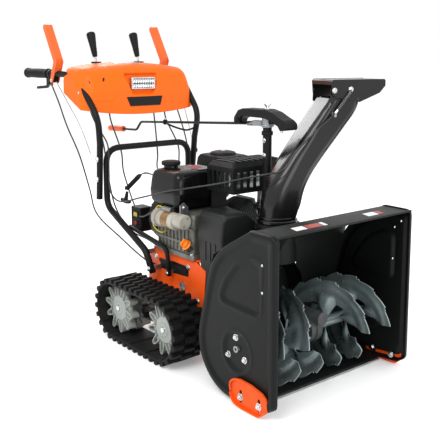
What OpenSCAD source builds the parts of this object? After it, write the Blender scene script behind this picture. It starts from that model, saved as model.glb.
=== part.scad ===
/* [Auger housing] */
// Width over the two side plates
housing_w = 610; // [560:5:660]
// Height of the intake above the ground
intake_h = 545; // [500:5:580]
// Sheet thickness of the housing
sheet = 3; // [2:0.5:4]
// Radius of the auger flights
auger_r = 150; // [130:1:152]
// Radius of the impeller drum, inside
drum_r = 145; // [120:1:150]

/* [Chute] */
// Direction the chute throws, measured from straight ahead
chute_yaw = 75; // [-90:5:75]
// Half width of the chute channel
chute_half_w = 60; // [50:1:64]

/* [Tracks] */
// Distance between the front and the rear wheel axles
wheelbase = 290; // [260:5:320]
// Height of the track over its lugs
track_h = 232; // [210:2:250]
// Width of one rubber track
track_w = 136; // [120:2:170]
// Number of cross lugs on one track
lug_count = 36; // [24:2:44]

/* [Handles] */
// Outer diameter of the handle tubes
tube_d = 25; // [22:0.5:28]
// Height of the grips above the ground
grip_h = 965; // [900:5:1000]
// Diameter of the rubber grips
grip_d = 38; // [32:1:42]

/* [Hidden] */
$fn = 48;

// The machine is drawn with y = 0 at the front edge of the housing, y towards the operator,
// x = 0 on the centre plane and the operator's right at -x. The frame then moves to the
// middle of the outline on the ground.
half_w = housing_w / 2;
track_out = 336;
front_edge = -3;
grip_front = 1430;
grip_back = 1632;
deflector_reach = 380;

// Auger and impeller axes
auger_y = 170;
auger_z = 170;
impeller_z = 215;
drum_back = 412;

// Chute axis, the post beside it and the gear pair between them
chute_x = 28;
chute_y = 345;
gear_mod = 2.5;
ring_teeth = 60;
pinion_teeth = 16;
post_gap = gear_mod * (ring_teeth + pinion_teeth) / 2;
post_angle = 20;
post_x = chute_x + post_gap * sin(post_angle);
post_y = chute_y + post_gap * cos(post_angle);
gear_z = 468;
chute_z = 484;

// Deflector hinge in the chute's own plane: distance along the throw, height
hinge_s = 176;
hinge_z = 927;

// Tracks
track_z = track_h / 2;
front_axle_y = 555;
rear_axle_y = front_axle_y + wheelbase;
lug_h = 13;
belt_t = 8;
track_in = track_out - track_w;
plate_x = 160;

// Engine
crank_x = -75;
crank_z = 440;
deck_z = 335;
pulley_y = 452;
tank_cap_y = 742;

// Handles, levers and crank
tube_r = tube_d / 2;
leg_x = 200;
handle_x = 262;
paddle_y = 1380;
paddle_z = 939;
trigger_y = 1424;
trigger_z = 926;
lever_x = 104;
lever_y = 1294;
lever_z = 955;
crank_inner = [post_x, 470, 808];
crank_outer = [100, 1293, 753];
hinge_r = 4;

// Middle of the outline on the ground
chute_dir = [sin(chute_yaw), -cos(chute_yaw)];
chute_side = [cos(chute_yaw), sin(chute_yaw)];
reach_x = chute_x + deflector_reach * chute_dir.x + (chute_half_w + 4.5) * chute_side.x;
mid_x = (reach_x - track_out) / 2;
mid_y = (grip_back + front_edge) / 2;

black = "#2a2c2b";
orange = "#f9641e";
steel = "#c9cdd0";
grey = "#6d7276";
rubber = "#1a1a1a";

// ---------- helpers ----------

// Moves the drawing to the shared frame.
module home() {
    translate([-mid_x, -mid_y, 0]) children();
}

// Draws the children on both sides of the centre plane.
module both_sides() {
    children();
    mirror([1, 0, 0]) children();
}

function unit(v) = v / norm(v);

// Round bar from one point to another.
module rod(a, b, r) {
    d = b - a;
    translate(a) rotate([0, acos(d.z / norm(d)), atan2(d.y, d.x)]) cylinder(h = norm(d), r = r);
}

// Cylinder along x or y from one end to the other.
module bar_x(x0, x1, y, z, r) {
    translate([min(x0, x1), y, z]) rotate([0, 90, 0]) cylinder(h = abs(x1 - x0), r = r);
}

module bar_y(y0, y1, x, z, r) {
    translate([x, max(y0, y1), z]) rotate([90, 0, 0]) cylinder(h = abs(y1 - y0), r = r);
}

// Box from its low corner to its high corner.
module box(low, high) {
    translate(low) cube(high - low);
}

// Plate drawn in the y-z plane and thickened along x.
module plate_yz(x0, x1) {
    translate([x0, 0, 0]) rotate([90, 0, 90]) linear_extrude(x1 - x0) children();
}

// Plate drawn in the x-z plane and thickened along y.
module plate_xz(y0, y1) {
    translate([0, y1, 0]) rotate([90, 0, 0]) linear_extrude(y1 - y0) children();
}

// Flat outline with round ends between two points.
module slot_2d(a, b, r) {
    d = b - a;
    n = [-d.y, d.x] / norm(d) * r;
    translate(a) circle(r);
    translate(b) circle(r);
    polygon([a + n, a - n, b - n, b + n]);
}

// Outline of a flat strip of half width r along three points, with round ends.
function strip(a, b, c, r) = let (
        u = unit(b - a), w = unit(c - b),
        n = [-u.y, u.x], m = [-w.y, w.x],
        mitre = (n + m) / (1 + n * m),
        start = atan2(n.y, n.x), finish = atan2(m.y, m.x))
    concat(
        [for (k = [0 : 6]) a + r * [cos(start + 30 * k), sin(start + 30 * k)]],
        [b - r * mitre],
        [for (k = [0 : 6]) c + r * [cos(finish + 180 + 30 * k), sin(finish + 180 + 30 * k)]],
        [b + r * mitre]);

// Replaces every corner of a route by the two ends and the middle of its bend.
function rounded(pts, bend) = let (last = len(pts) - 1) concat([pts[0]],
    [for (i = [1 : last - 1]) let (
            u = unit(pts[i] - pts[i - 1]),
            w = unit(pts[i + 1] - pts[i]),
            cut = bend * tan(acos(u * w) / 2),
            a = pts[i] - u * cut,
            b = pts[i] + w * cut)
        each [a, (a + b) / 4 + pts[i] / 2, b]],
    [pts[last]]);

// Bent bar through a list of points, with a ball in every corner.
module bent_bar(pts, r) {
    last = len(pts) - 1;
    for (i = [0 : last - 1]) rod(pts[i], pts[i + 1], r);
    for (i = [1 : last - 1]) translate(pts[i]) sphere(r * 1.05);
}

// Smooth curve through hand-placed points (Catmull-Rom), steps per span.
function spline_point(p0, p1, p2, p3, t) =
    0.5 * (2 * p1 + (p2 - p0) * t + (2 * p0 - 5 * p1 + 4 * p2 - p3) * t * t
        + (3 * p1 - p0 - 3 * p2 + p3) * t * t * t);

function spline(pts, steps) = let (last = len(pts) - 1) concat(
    [for (i = [0 : last - 1], k = [0 : steps - 1])
        spline_point(pts[max(i - 1, 0)], pts[i], pts[i + 1], pts[min(i + 2, last)], k / steps)],
    [pts[last]]);

// Solid cable swept along a curve, with a ring of flat sides at every point.
module cable(pts, r, steps = 6, ref = [0.31, 0.11, 0.05], sides = 8) {
    path = spline(pts, steps);
    last = len(path) - 1;
    tangents = [for (i = [0 : last]) unit(path[min(i + 1, last)] - path[max(i - 1, 0)])];
    rings = [for (i = [0 : last], k = [0 : sides - 1])
        let (u = unit(cross(tangents[i], ref)), v = cross(tangents[i], u), a = 360 * k / sides)
        path[i] + (u * cos(a) + v * sin(a)) * r];
    walls = [for (i = [0 : last - 1], k = [0 : sides - 1])
        let (j = (k + 1) % sides, p = i * sides, q = p + sides)
        each [[p + k, q + k, q + j], [p + k, q + j, p + j]]];
    ends = [[for (k = [0 : sides - 1]) k], [for (k = [sides - 1 : -1 : 0]) last * sides + k]];
    polyhedron(rings, concat(walls, ends));
}

// Solid from rings of the same number of points, closed at both ends.
module loft(rings) {
    n = len(rings[0]);
    last = len(rings) - 1;
    walls = [for (i = [0 : last - 1], k = [0 : n - 1])
        let (j = (k + 1) % n, p = i * n, q = p + n)
        each [[p + k, q + j, q + k], [p + k, p + j, q + j]]];
    strip = [for (i = [0 : n / 2 - 2]) each [[i, i + 1, n - 2 - i], [i, n - 2 - i, n - 1 - i]]];
    ends = concat(
        [for (t = strip) [t[2], t[1], t[0]]],
        [for (t = strip) [last * n + t[0], last * n + t[1], last * n + t[2]]]);
    polyhedron([for (r = rings) each r], concat(walls, ends));
}

// Involute tooth outline of a spur gear.
function involute(rb, t) = rb * [cos(t) + t * PI / 180 * sin(t), sin(t) - t * PI / 180 * cos(t)];

function turned(p, a) = [p.x * cos(a) - p.y * sin(a), p.x * sin(a) + p.y * cos(a)];

// Roll angle at which the involute of base radius rb reaches radius r.
function roll(rb, r) = sqrt(max(r * r / (rb * rb) - 1, 0)) * 180 / PI;

module gear_2d(teeth, mod, slack = 0.75) {
    rp = teeth * mod / 2;
    rb = rp * cos(20);
    root = rp - 1.2 * mod;
    tip = rp + 0.85 * mod;
    half = 90 / teeth * (1 - slack / 10) + roll(rb, rp) - atan(roll(rb, rp) * PI / 180);
    low = roll(rb, max(rb, root));
    high = roll(rb, tip);
    flank = [for (k = [0 : 3]) turned(involute(rb, low + (high - low) * k / 3), -half)];
    mirrored = [for (k = [3 : -1 : 0]) [flank[k].x, -flank[k].y]];
    foot = turned([root, 0], -half);
    polygon([for (i = [0 : teeth - 1], p = concat([foot], flank, mirrored, [[foot.x, -foot.y]]))
        turned(p, 360 * i / teeth)]);
}

// Hexagon bolt head standing on a face at p, along +z before the turn.
module hex_head(p, turn, r = 7, h = 5) {
    translate(p) rotate(turn) cylinder(h = h, r = r, $fn = 6);
}

// ---------- auger housing ----------

arc_y = 195;
arc_z = 165;
arc_r = 155;
shoulder_y = 104;
corner = [281, 443];

// Curved back of the housing, drawn in by t along its own normal.
function back_curve(t) = [for (k = [0 : 12]) let (a = 15 - 105 * k / 12)
    [arc_y + (arc_r - t) * cos(a), arc_z + (arc_r - t) * sin(a)]];

// Top and back of the housing from the front lip to the floor edge, drawn in by t.
function housing_curve(t) = concat(
    [[0, intake_h - t], [shoulder_y - 0.27 * t, intake_h - t], [corner.x - 0.75 * t, corner.y - 0.9 * t]],
    back_curve(t),
    [[108, arc_z - arc_r + t]]);

function reversed(list) = [for (i = [len(list) - 1 : -1 : 0]) list[i]];

// Outline of the side plates, grown outwards by t.
function side_outline(t) = concat(
    [[-t, intake_h + t], [shoulder_y + 0.27 * t, intake_h + t], [corner.x + 0.75 * t, corner.y + 0.9 * t]],
    back_curve(-t),
    [[108, arc_z - arc_r - t], [30, 22 - t], [-t, 40]]);

module bucket_solid() {
    plate_yz(-half_w, half_w) polygon(concat(housing_curve(0), [[0, 30]]));
}

module auger_housing() {
    color(black) home() difference() {
        plate_yz(4 - half_w, half_w - 4) polygon(concat(housing_curve(0), reversed(housing_curve(sheet))));
        bar_y(230, 360, 0, impeller_z, drum_r - 4);
        translate([chute_x, chute_y, 300]) cylinder(h = 200, r = 66);
    }
}

module housing_side() {
    difference() {
        plate_yz(-half_w, 14 - half_w) polygon(side_outline(3));
        plate_yz(4 - half_w, 15 - half_w) polygon(side_outline(0));
        for (p = [[138, 33], [56, 33]]) bar_x(-half_w - 1, 20 - half_w, p[0], p[1], 5.2);
        bar_x(-half_w - 1, 20 - half_w, auger_y, auger_z, 10.08);
    }
    // round boss around the auger bearing
    difference() {
        bar_x(4 - half_w, 16 - half_w, auger_y, auger_z, 30);
        bar_x(-half_w, 17 - half_w, auger_y, auger_z, 10.08);
    }
    // raised panel and bearing emboss on the outside
    difference() {
        plate_yz(-half_w - 3, -half_w) panel_2d(0);
        plate_yz(-half_w - 4, 1 - half_w) panel_2d(14);
    }
    difference() {
        bar_x(-half_w - 3, -half_w, auger_y, auger_z, 66);
        bar_x(-half_w - 4, 1 - half_w, auger_y, auger_z, 10.08);
    }
}

// D-shaped panel of the side plate, drawn in by t.
module panel_2d(t) {
    r = 215 - t;
    polygon(concat(
        [[60 + t, 285 + t], [60 + t, 468 - t * 1.6]],
        [for (k = [0 : 8]) let (a = 82 - 62 * k / 8) [66 + r * cos(a), 262 + r * sin(a)]],
        [[258 - t * 1.4, 315 + t]]));
}

module housing_side_right() {
    color(black) home() housing_side();
}

module housing_side_left() {
    color(black) home() mirror([1, 0, 0]) housing_side();
}

module scraper_bar() {
    color(grey) home() difference() {
        box([18 - half_w, 100, 4], [half_w - 18, 160, 9.9]);
        for (x = [-220 : 110 : 220]) translate([x, 140, 0]) cylinder(h = 20, r = 4.5);
    }
}

module impeller_drum() {
    color(black) home() difference() {
        union() {
            bar_y(250, drum_back, 0, impeller_z, drum_r + sheet);
            translate([chute_x, chute_y, impeller_z]) cylinder(h = chute_z - 22 - impeller_z, r = 64);
            translate([chute_x, chute_y, 452]) cylinder(h = 6, r = 74);
            // bracket that carries the chute post
            box([post_x - 14, 395, 430], [post_x + 14, 466, 438]);
            box([post_x - 14, 458, 430], [post_x + 14, 466, 512]);
            box([post_x - 18, 418, 504], [post_x + 18, 466, 512]);
        }
        bar_y(240, drum_back - sheet, 0, impeller_z, drum_r);
        translate([chute_x, chute_y, impeller_z]) cylinder(h = 400, r = 60);
        bar_y(drum_back - 20, drum_back + 1, 0, impeller_z, 10.08);
        translate([post_x, post_y, 400]) cylinder(h = 200, r = 6.1);
        bucket_solid();
    }
}

// ---------- auger ----------

module auger_shaft() {
    color(grey) home() {
        difference() {
            bar_x(-284, 284, auger_y, auger_z, 14);
            bar_x(-285, 285, auger_y, auger_z, 9);
        }
        both_sides() difference() {
            bar_x(-303, -270, auger_y, auger_z, 10);
            bar_x(-304, -262, auger_y, auger_z, 5);
        }
        // bronze worm wheel in the gear case
        difference() {
            translate([-9, auger_y, auger_z]) rotate([0, 90, 0]) linear_extrude(18) gear_2d(20, 3.3);
            bar_x(-10, 10, auger_y, auger_z, 9);
        }
        // shear pins through the tube
        both_sides() translate([-52, auger_y, auger_z - 22]) cylinder(h = 44, r = 4);
    }
}

// One serrated ribbon of flight. It starts at x0, angle a0, and winds to x1 over the sweep.
module flight(x0, x1, a0, sweep) {
    steps = 54;
    inner = 78;
    loft([for (i = [0 : steps])
        let (a = a0 + sweep * i / steps,
            x = x0 + (x1 - x0) * i / steps,
            fade = min(1, i / 5, (steps - i) / 5),
            r = auger_r - (1 - fade) * 34 - (i % 6 < 3 ? 0 : 7),
            c = [cos(a), sin(a)])
        [[x + 2.5, auger_y + c.x * inner, auger_z + c.y * inner],
            [x - 2.5, auger_y + c.x * inner, auger_z + c.y * inner],
            [x - 2.5, auger_y + c.x * r, auger_z + c.y * r],
            [x + 2.5, auger_y + c.x * r, auger_z + c.y * r]]]);
}

// Arm from the sleeve out to the ribbon at one angle.
module flight_arm(x, a) {
    translate([x, auger_y, auger_z]) rotate([a, 0, 0]) box([-5, 14, -13], [5, 86, 13]);
}

// Flights of one side: two ribbons half a turn apart on a sleeve, carried by arms.
module flight_set(phase, hand) {
    sweep = hand * 300;
    difference() {
        bar_x(-262, -36, auger_y, auger_z, 18);
        bar_x(-263, -35, auger_y, auger_z, 14.05);
        translate([-52, auger_y, auger_z - 30]) cylinder(h = 60, r = 4.1);
    }
    difference() {
        union() for (start = [0, 180]) {
            flight(-258, -44, phase + start, sweep);
            for (f = [0.1, 0.5, 0.9]) flight_arm(-258 + 214 * f, phase + start + sweep * f);
        }
        bar_x(-270, -30, auger_y, auger_z, 16);
    }
}

module auger_flight_right() {
    color(grey) home() flight_set(60, 1);
}

module auger_flight_left() {
    color(grey) home() mirror([1, 0, 0]) flight_set(20, 1);
}

module auger_gearbox() {
    color("#4a4c4b") home() difference() {
        union() {
            bar_x(-24, 24, auger_y, auger_z, 48);
            bar_x(-34, 34, auger_y, auger_z, 24);
            bar_y(100, 262, 0, impeller_z, 22);
        }
        bar_x(-12, 12, auger_y, auger_z, 40);
        bar_x(-35, 35, auger_y, auger_z, 14.08);
        bar_y(107, 263, 0, impeller_z, 12);
    }
}

// ---------- impeller and belt drive ----------

module impeller() {
    color("#3a3d3c") home() difference() {
        union() {
            bar_y(110, 478, 0, impeller_z, 6.4);
            bar_y(262.5, 478, 0, impeller_z, 10);
            bar_y(350, 405, 0, impeller_z, 24);
            // worm in the gear case
            for (k = [0 : 7]) bar_y(146 + 6 * k, 149 + 6 * k, 0, impeller_z, 8.4);
            bar_y(109, 118, 0, impeller_z, 11.9);
            bar_y(250, 262.5, 0, impeller_z, 11.9);
            for (k = [0 : 3]) translate([0, 0, impeller_z]) rotate([0, 90 * k + 20, 0]) {
                box([-2, 352, 15], [2, 404, drum_r - 7]);
                box([2, 398, 15], [34, 402, drum_r - 16]);
                box([2, 352, 112], [22, 404, 116]);
            }
        }
        bar_y(400, 490, 0, impeller_z, 3);
    }
}

module grooved_pulley(x, z, r, y0, y1) {
    difference() {
        bar_y(y0, y1, x, z, r);
        translate([x, (y0 + y1) / 2, z]) rotate([90, 0, 0]) rotate_extrude()
            polygon([[r + 1, -7.5], [r - 11, -5], [r - 11, 5], [r + 1, 7.5]]);
    }
}

module auger_pulley() {
    color(grey) home() difference() {
        union() {
            grooved_pulley(0, impeller_z, 88, pulley_y - 10, pulley_y + 10);
            bar_y(pulley_y - 14, pulley_y + 16, 0, impeller_z, 22);
        }
        bar_y(pulley_y - 30, pulley_y + 30, 0, impeller_z, 10);
        for (k = [0 : 4]) translate([0, 0, impeller_z]) rotate([0, 72 * k, 0]) bar_y(430, 470, 48, 0, 14);
    }
}

module crankshaft() {
    color(steel) home() {
        difference() {
            bar_y(436, 838, crank_x, crank_z, 12.5);
            bar_y(435, 460, crank_x, crank_z, 4);
        }
        difference() {
            grooved_pulley(crank_x, crank_z, 38, pulley_y - 10, pulley_y + 10);
            bar_y(400, 500, crank_x, crank_z, 12.4);
        }
        difference() {
            grooved_pulley(crank_x, crank_z, 34, 476, 496);
            bar_y(400, 500, crank_x, crank_z, 12.4);
        }
        // flywheel with fan blades
        difference() {
            union() {
                bar_y(806, 824, crank_x, crank_z, 74);
                for (k = [0 : 11]) translate([crank_x, 0, crank_z]) rotate([0, 30 * k, 0])
                    box([-2, 822, 46], [2, 836, 76]);
            }
            bar_y(800, 840, crank_x, crank_z, 12.4);
        }
    }
}

module belt_loop(inset) {
    hull() {
        translate([crank_x, crank_z]) circle(38 - inset);
        translate([0, impeller_z]) circle(88 - inset);
    }
}

module drive_belt() {
    color(rubber) home() plate_xz(pulley_y - 5, pulley_y + 5) difference() {
        belt_loop(0);
        belt_loop(10.5);
    }
}

// ---------- belt cover and frame ----------

module belt_cover_solid(t) {
    box([t - 102, 416 + t, 112 + t], [102 - t, 488, 340]);
    box([t - 158, 416 + t, 300 + t], [126 - t, 488, 424 - t]);
    plate_xz(452 + t, 545) polygon([
        [t - 158, 337 + t], [t - 158, 424 - t], [60 - t, 424 - t], [60 - t, 337 + t]]);
    // hump over the engine pulley, with a bevelled shoulder on the left
    plate_xz(421 + t, 540) polygon([
        [t - 150, 400], [t - 150, 500 - t * 0.6], [t * 0.6 - 138, 514 - t],
        [-46 - t * 0.4, 514 - t], [-26 - t * 0.8, 500 - t * 0.6], [34 - t, 424 - t], [34 - t, 400]]);
}

module belt_cover() {
    color(black) home() {
        difference() {
            union() {
                belt_cover_solid(0);
                // stand-offs against the back of the drum
                for (x = [-80, 80], z = [140, 280]) bar_y(drum_back, 420, x, z, 9);
            }
            belt_cover_solid(3);
            // open back and bore for the impeller shaft
            box([-147, 480, 340], [50, 560, 421]);
            bar_y(410, 430, 0, impeller_z, 14);
        }
        // vertical ribs on the right flank
        for (y = [462, 530]) box([-161, y, 345], [-158, y + 8, 418]);
    }
}

function frame_outline() = [
    [500, 308], [556, 330], [800, 330], [839, 310], [856, 180], [885, 150], [885, 92], [520, 92], [512, 180]];

module frame_plate() {
    difference() {
        plate_yz(-plate_x, 4 - plate_x) polygon(frame_outline());
        bar_x(-200, -100, front_axle_y, track_z, 10.08);
        bar_x(-200, -100, rear_axle_y, track_z, 10.08);
        bar_x(-200, -100, 634, 223, 16);
        // window of the shift lever
        plate_yz(-200, -100) polygon([[628, 290], [628, 262], [760, 262], [760, 290]]);
    }
}

module frame_plate_right() {
    color(orange) home() frame_plate();
}

module frame_plate_left() {
    color(orange) home() mirror([1, 0, 0]) frame_plate();
}

module frame_deck() {
    inner = plate_x - 4;
    color(orange) home() {
        difference() {
            box([-inner, 520, 96], [inner, 822, deck_z]);
            box([-inner - 1, 524, 100], [inner + 1, 818, deck_z - 5]);
            for (x = [-80, 80]) bar_y(810, 830, x, 230, 22);
        }
        // brackets to the impeller drum
        both_sides() box([-128, drum_back, 160], [-104, 521, 190]);
    }
}

module friction_wheel() {
    color(steel) home() {
        bar_x(-166, 166, 634, 223, 8);
        difference() {
            bar_x(-30, 30, 634, 223, 24);
            bar_x(-31, 31, 634, 223, 7.9);
        }
        difference() {
            bar_x(-8, 8, 634, 223, 72);
            bar_x(-9, 9, 634, 223, 23.9);
        }
        both_sides() difference() {
            bar_x(-163, -150, 634, 223, 15.9);
            bar_x(-164, -149, 634, 223, 7.9);
        }
    }
}

// ---------- tracks ----------

module track_2d(r) {
    translate([front_axle_y, track_z]) circle(r, $fn = 64);
    translate([rear_axle_y, track_z]) circle(r, $fn = 64);
    translate([front_axle_y, track_z - r]) square([wheelbase, 2 * r]);
}

// Places the children on the track loop at a distance along it, with +y outwards.
module on_loop(d, r) {
    arc = PI * r;
    if (d < wheelbase) translate([front_axle_y + d, track_z + r]) children();
    else if (d < wheelbase + arc) translate([rear_axle_y, track_z]) rotate(-(d - wheelbase) / arc * 180)
        translate([0, r]) children();
    else if (d < 2 * wheelbase + arc) translate([rear_axle_y - (d - wheelbase - arc), track_z - r])
        rotate(180) children();
    else translate([front_axle_y, track_z]) rotate(180 - (d - 2 * wheelbase - arc) / arc * 180)
        translate([0, r]) children();
}

module track_belt() {
    outer = track_z - lug_h;
    loop = 2 * wheelbase + 2 * PI * outer;
    plate_yz(-track_out + 2, -track_in - 2) difference() {
        track_2d(outer);
        track_2d(outer - belt_t);
    }
    plate_yz(-track_out, -track_in) for (i = [0 : lug_count - 1]) on_loop(loop * (i + 0.5) / lug_count, outer)
        translate([-8, -3]) square([16, lug_h + 3]);
}

module track_belt_right() {
    color(rubber) home() track_belt();
}

module track_belt_left() {
    color(rubber) home() mirror([1, 0, 0]) track_belt();
}

module track_frames() {
    color(black) home() both_sides() {
        bar_x(-290, -plate_x, front_axle_y + wheelbase / 2, track_z + 8, 9);
        box([-262, 655, track_z - 14], [-206, 745, track_z + 30]);
        box([-200, 690, track_z - 2], [-plate_x, 710, track_z + 18]);
    }
}

// Toothed track wheel with its stub axle running in the frame plate.
module track_wheel(y) {
    difference() {
        union() {
            bar_x(-306, -150, y, track_z, 10);
            bar_x(-304, -190, y, track_z, 27);
            bar_x(-284, -272, y, track_z, 62);
            bar_x(-222, -210, y, track_z, 62);
            for (k = [0 : 11]) translate([0, y, track_z]) rotate([30 * k, 0, 0])
                for (x = [-300, -232]) box([x, 24, -5], [x + 30, 92, 5]);
        }
        bar_x(-307, -296, y, track_z, 4);
    }
}

module wheel_front_right() {
    color("#a9ada8") home() track_wheel(front_axle_y);
}

module wheel_front_left() {
    color("#a9ada8") home() mirror([1, 0, 0]) track_wheel(front_axle_y);
}

module wheel_rear_right() {
    color("#a9ada8") home() track_wheel(rear_axle_y);
}

module wheel_rear_left() {
    color("#a9ada8") home() mirror([1, 0, 0]) track_wheel(rear_axle_y);
}

// ---------- engine ----------

module engine_crankcase() {
    color("#8a8a84") home() difference() {
        union() {
            box([-168, 556, deck_z], [40, 790, deck_z + 16]);
            box([-165, 566, deck_z + 16], [30, 780, 500]);
            bar_y(546, 566, crank_x, crank_z, 52);
            // filler boss for the oil cap
            translate([-160, 585, 372]) rotate([0, -50, 0]) cylinder(h = 22, r = 16);
        }
        box([-155, 576, deck_z + 26], [20, 770, 490]);
        bar_y(540, 800, crank_x, crank_z, 12.58);
        for (x = [-158, 26], y = [572, 774]) translate([x, y, deck_z - 1]) cylinder(h = 30, r = 5);
    }
}

module oil_cap() {
    color("#ff8a20") home() translate([-160, 585, 372]) rotate([0, -50, 0]) translate([0, 0, 22.6]) {
        cylinder(h = 5, r = 19);
        translate([0, 0, 5]) cylinder(h = 12, r = 15, $fn = 12);
        translate([-17, -4, 17]) cube([34, 8, 10]);
    }
}

// Air-cooled cylinder leaning to the left, with its head.
module engine_cylinder() {
    color("#55585a") home() difference() {
        translate([56, 620, 440]) rotate([0, 65, 0]) {
            for (k = [0 : 6]) translate([-52, -58, 6 + 11 * k]) cube([104, 116, 4]);
            translate([0, 0, -40]) cylinder(h = 118, r = 42);
            translate([-46, -50, 76]) cube([92, 100, 22]);
            translate([0, -20, 98]) cylinder(h = 26, r = 9);
        }
        box([-60, 500, 300], [30, 720, 500]);
    }
}

module fuel_tank() {
    color(black) home() {
        difference() {
            union() {
                hull() {
                    for (x = [-186, -14], y = [618, 768]) translate([x, y, 530]) cylinder(h = 90, r = 18, $fn = 32);
                    for (x = [-176, -24], y = [628, 758]) translate([x, y, 510]) cylinder(h = 130, r = 14, $fn = 32);
                }
                translate([-130, tank_cap_y, 630]) cylinder(h = 18, r = 26);
            }
            box([-192, 612, 522], [-8, 774, 622]);
            translate([-130, tank_cap_y, 600]) cylinder(h = 60, r = 20);
        }
        // skirts that stand on the crankcase
        for (y = [632, 750]) box([-150, y, 500], [-20, y + 6, 511]);
    }
}

module fuel_cap() {
    color(rubber) home() translate([-130, tank_cap_y, 648.3]) difference() {
        union() {
            cylinder(h = 16, r = 33);
            for (k = [0 : 11]) rotate(30 * k) translate([31, -4, 0]) cube([5, 8, 14]);
        }
        translate([0, 0, -1]) cylinder(h = 9, r = 28);
    }
}

// Louvred guard over the silencer.
module muffler_guard() {
    color(black) home() {
        difference() {
            union() {
                box([-75, 454, 572], [168, 596, 660]);
                plate_xz(462, 588) polygon([[-75, 655], [-60, 678], [150, 682], [168, 655]]);
            }
            box([-72, 457, 560], [165, 593, 657]);
            for (k = [0 : 7]) box([-64 + 28 * k, 450, 592], [-54 + 28 * k, 460, 644]);
            for (k = [0 : 3]) box([-80, 470 + 27 * k, 592], [-66, 480 + 27 * k, 644]);
            for (k = [0 : 6]) box([-44 + 28 * k, 476, 650], [-34 + 28 * k, 578, 700]);
        }
        // leg down to the crankcase
        box([-60, 593, 500], [10, 596, 576]);
    }
}

module air_box() {
    color(black) home() {
        difference() {
            union() {
                box([8, 612, 562], [150, 780, 676]);
                bar_y(640, 752, 76, 650, 40);
            }
            box([12, 616, 558], [146, 776, 640]);
        }
        // leg down to the crankcase
        box([8, 690, 500], [14, 770, 566]);
        // silencer behind the guard, with its pipe from the cylinder
        difference() {
            bar_x(-62, 150, 520, 612, 36);
            bar_x(-60, 148, 520, 612, 33);
        }
        box([120, 546, 455], [144, 562, 600]);
    }
}

module recoil_housing() {
    color(black) home() {
        difference() {
            union() {
                bar_y(790.5, 852, crank_x, crank_z, 96);
                bar_y(852, 872, crank_x, crank_z, 70);
            }
            bar_y(780, 846, crank_x, crank_z, 90);
            bar_y(840, 866, crank_x, crank_z, 60);
            for (k = [0 : 11]) translate([crank_x, 0, crank_z]) rotate([0, 30 * k, 0])
                box([-4, 860, 24], [4, 880, 54]);
        }
        // bracket that carries the pull handle
        bent_bar([[-100, 866, 500], [-60, 905, 570], [-92, 985, 590], [-158, 1000, 528]], 7);
    }
}

module recoil_handle() {
    color(rubber) home() difference() {
        union() {
            rod([-160, 1001, 520], [-166, 1003, 486], 9);
            translate([-164, 1002, 486]) rotate([0, 0, 30]) cube([22, 14, 26], center = true);
            rod([-166, 974, 482], [-162, 1032, 482], 8);
        }
        translate([-158, 1000, 528]) sphere(8.3);
    }
}

module electric_starter() {
    color("#d6d2c8") home() {
        bar_y(604, 700, -203, 470, 30);
        bar_y(556, 604, -203, 476, 26);
        bar_y(700, 722, -203, 470, 34);
        bar_y(728, 750, -196, 474, 20);
        bar_y(722, 728, -199, 472, 18);
        // mounting bracket on the crankcase
        plate_xz(590, 594) polygon([[-166, 480], [-166, 520], [-184, 540], [-200, 528], [-200, 498]]);
    }
}

module switch_box() {
    color(black) home() {
        difference() {
            box([-165, 900, 372], [-108, 966, 466]);
            box([-161, 904, 376], [-112, 962, 462]);
        }
        bar_x(-170, -165, 930, 436, 9);
        bar_x(-170, -165, 930, 408, 7);
        box([-130, 872.3, 410], [-114, 900, 424]);
    }
}

// ---------- handles and console ----------

module handle_lower() {
    color(black) home() {
        bent_bar(rounded([[-leg_x, 766, 250], [-leg_x, 812, 326], [-leg_x, 1084, 452], [-leg_x, 1084, 680],
            [leg_x, 1084, 680], [leg_x, 1084, 452], [leg_x, 812, 326], [leg_x, 766, 250]], 45), tube_r);
        both_sides() {
            // spacers to the frame and the forward strut
            bar_x(-leg_x + tube_r - 1, -plate_x, 774, 265, 9);
            bar_x(-leg_x + tube_r - 1, -plate_x, 815, 318, 9);
            bent_bar([[-179, 950, 388], [-179, 705, 352], [-179, 690, 252]], 9);
            bar_x(-175, -plate_x, 692, 268, 7);
        }
    }
}

module handle_upper() {
    color(black) home() {
        // cross rod that carries the hand levers
        bar_x(-246, 246, lever_y, lever_z, 5);
        both_sides() bent_bar(rounded([[-226, 1098, 480], [-230, 1078, 700], [-242, 1066, 800], [-250, 1190, 935],
            [-254, 1290, grip_h], [-handle_x, 1360, grip_h], [-handle_x, grip_back - 8, grip_h]], 60), tube_r);
    }
}

// Three views of the console, each drawn in by t.
module console_solid(t) {
    intersection() {
        plate_yz(t - 271, 271 - t) polygon([
            [1100 + t, 800], [1116 + t, 930], [1148 + t, 985 - t * 0.5], [1185 + t * 0.3, 1006 - t],
            [1290, 1014 - t], [1352 - t, 1004 - t], [1352 - t, 940 - t * 12], [1260, 800]]);
        plate_xz(1050, 1400) polygon(concat(
            [for (k = [0 : 8]) let (x = -271 + t + (542 - 2 * t) * k / 8) [x, 829 + 23 * pow(x / 271, 2) - t * 9]],
            [[271 - t, 930], [262 - t, 965 - t], [225 - t, 988 - t], [150, 1006 - t], [0, 1014 - t],
                [-150, 1006 - t], [t - 225, 988 - t], [t - 262, 965 - t], [t - 271, 930]]));
        translate([0, 0, 700]) linear_extrude(400) polygon(concat(
            [for (k = [0 : 8]) let (x = -271 + t + (542 - 2 * t) * k / 8) [x, 1099 + 14 * pow(x / 271, 2) + t]],
            [[271 - t, 1292 - t], [215 - t, 1352 - t], [t - 215, 1352 - t], [t - 271, 1292 - t]]));
    }
}

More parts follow.
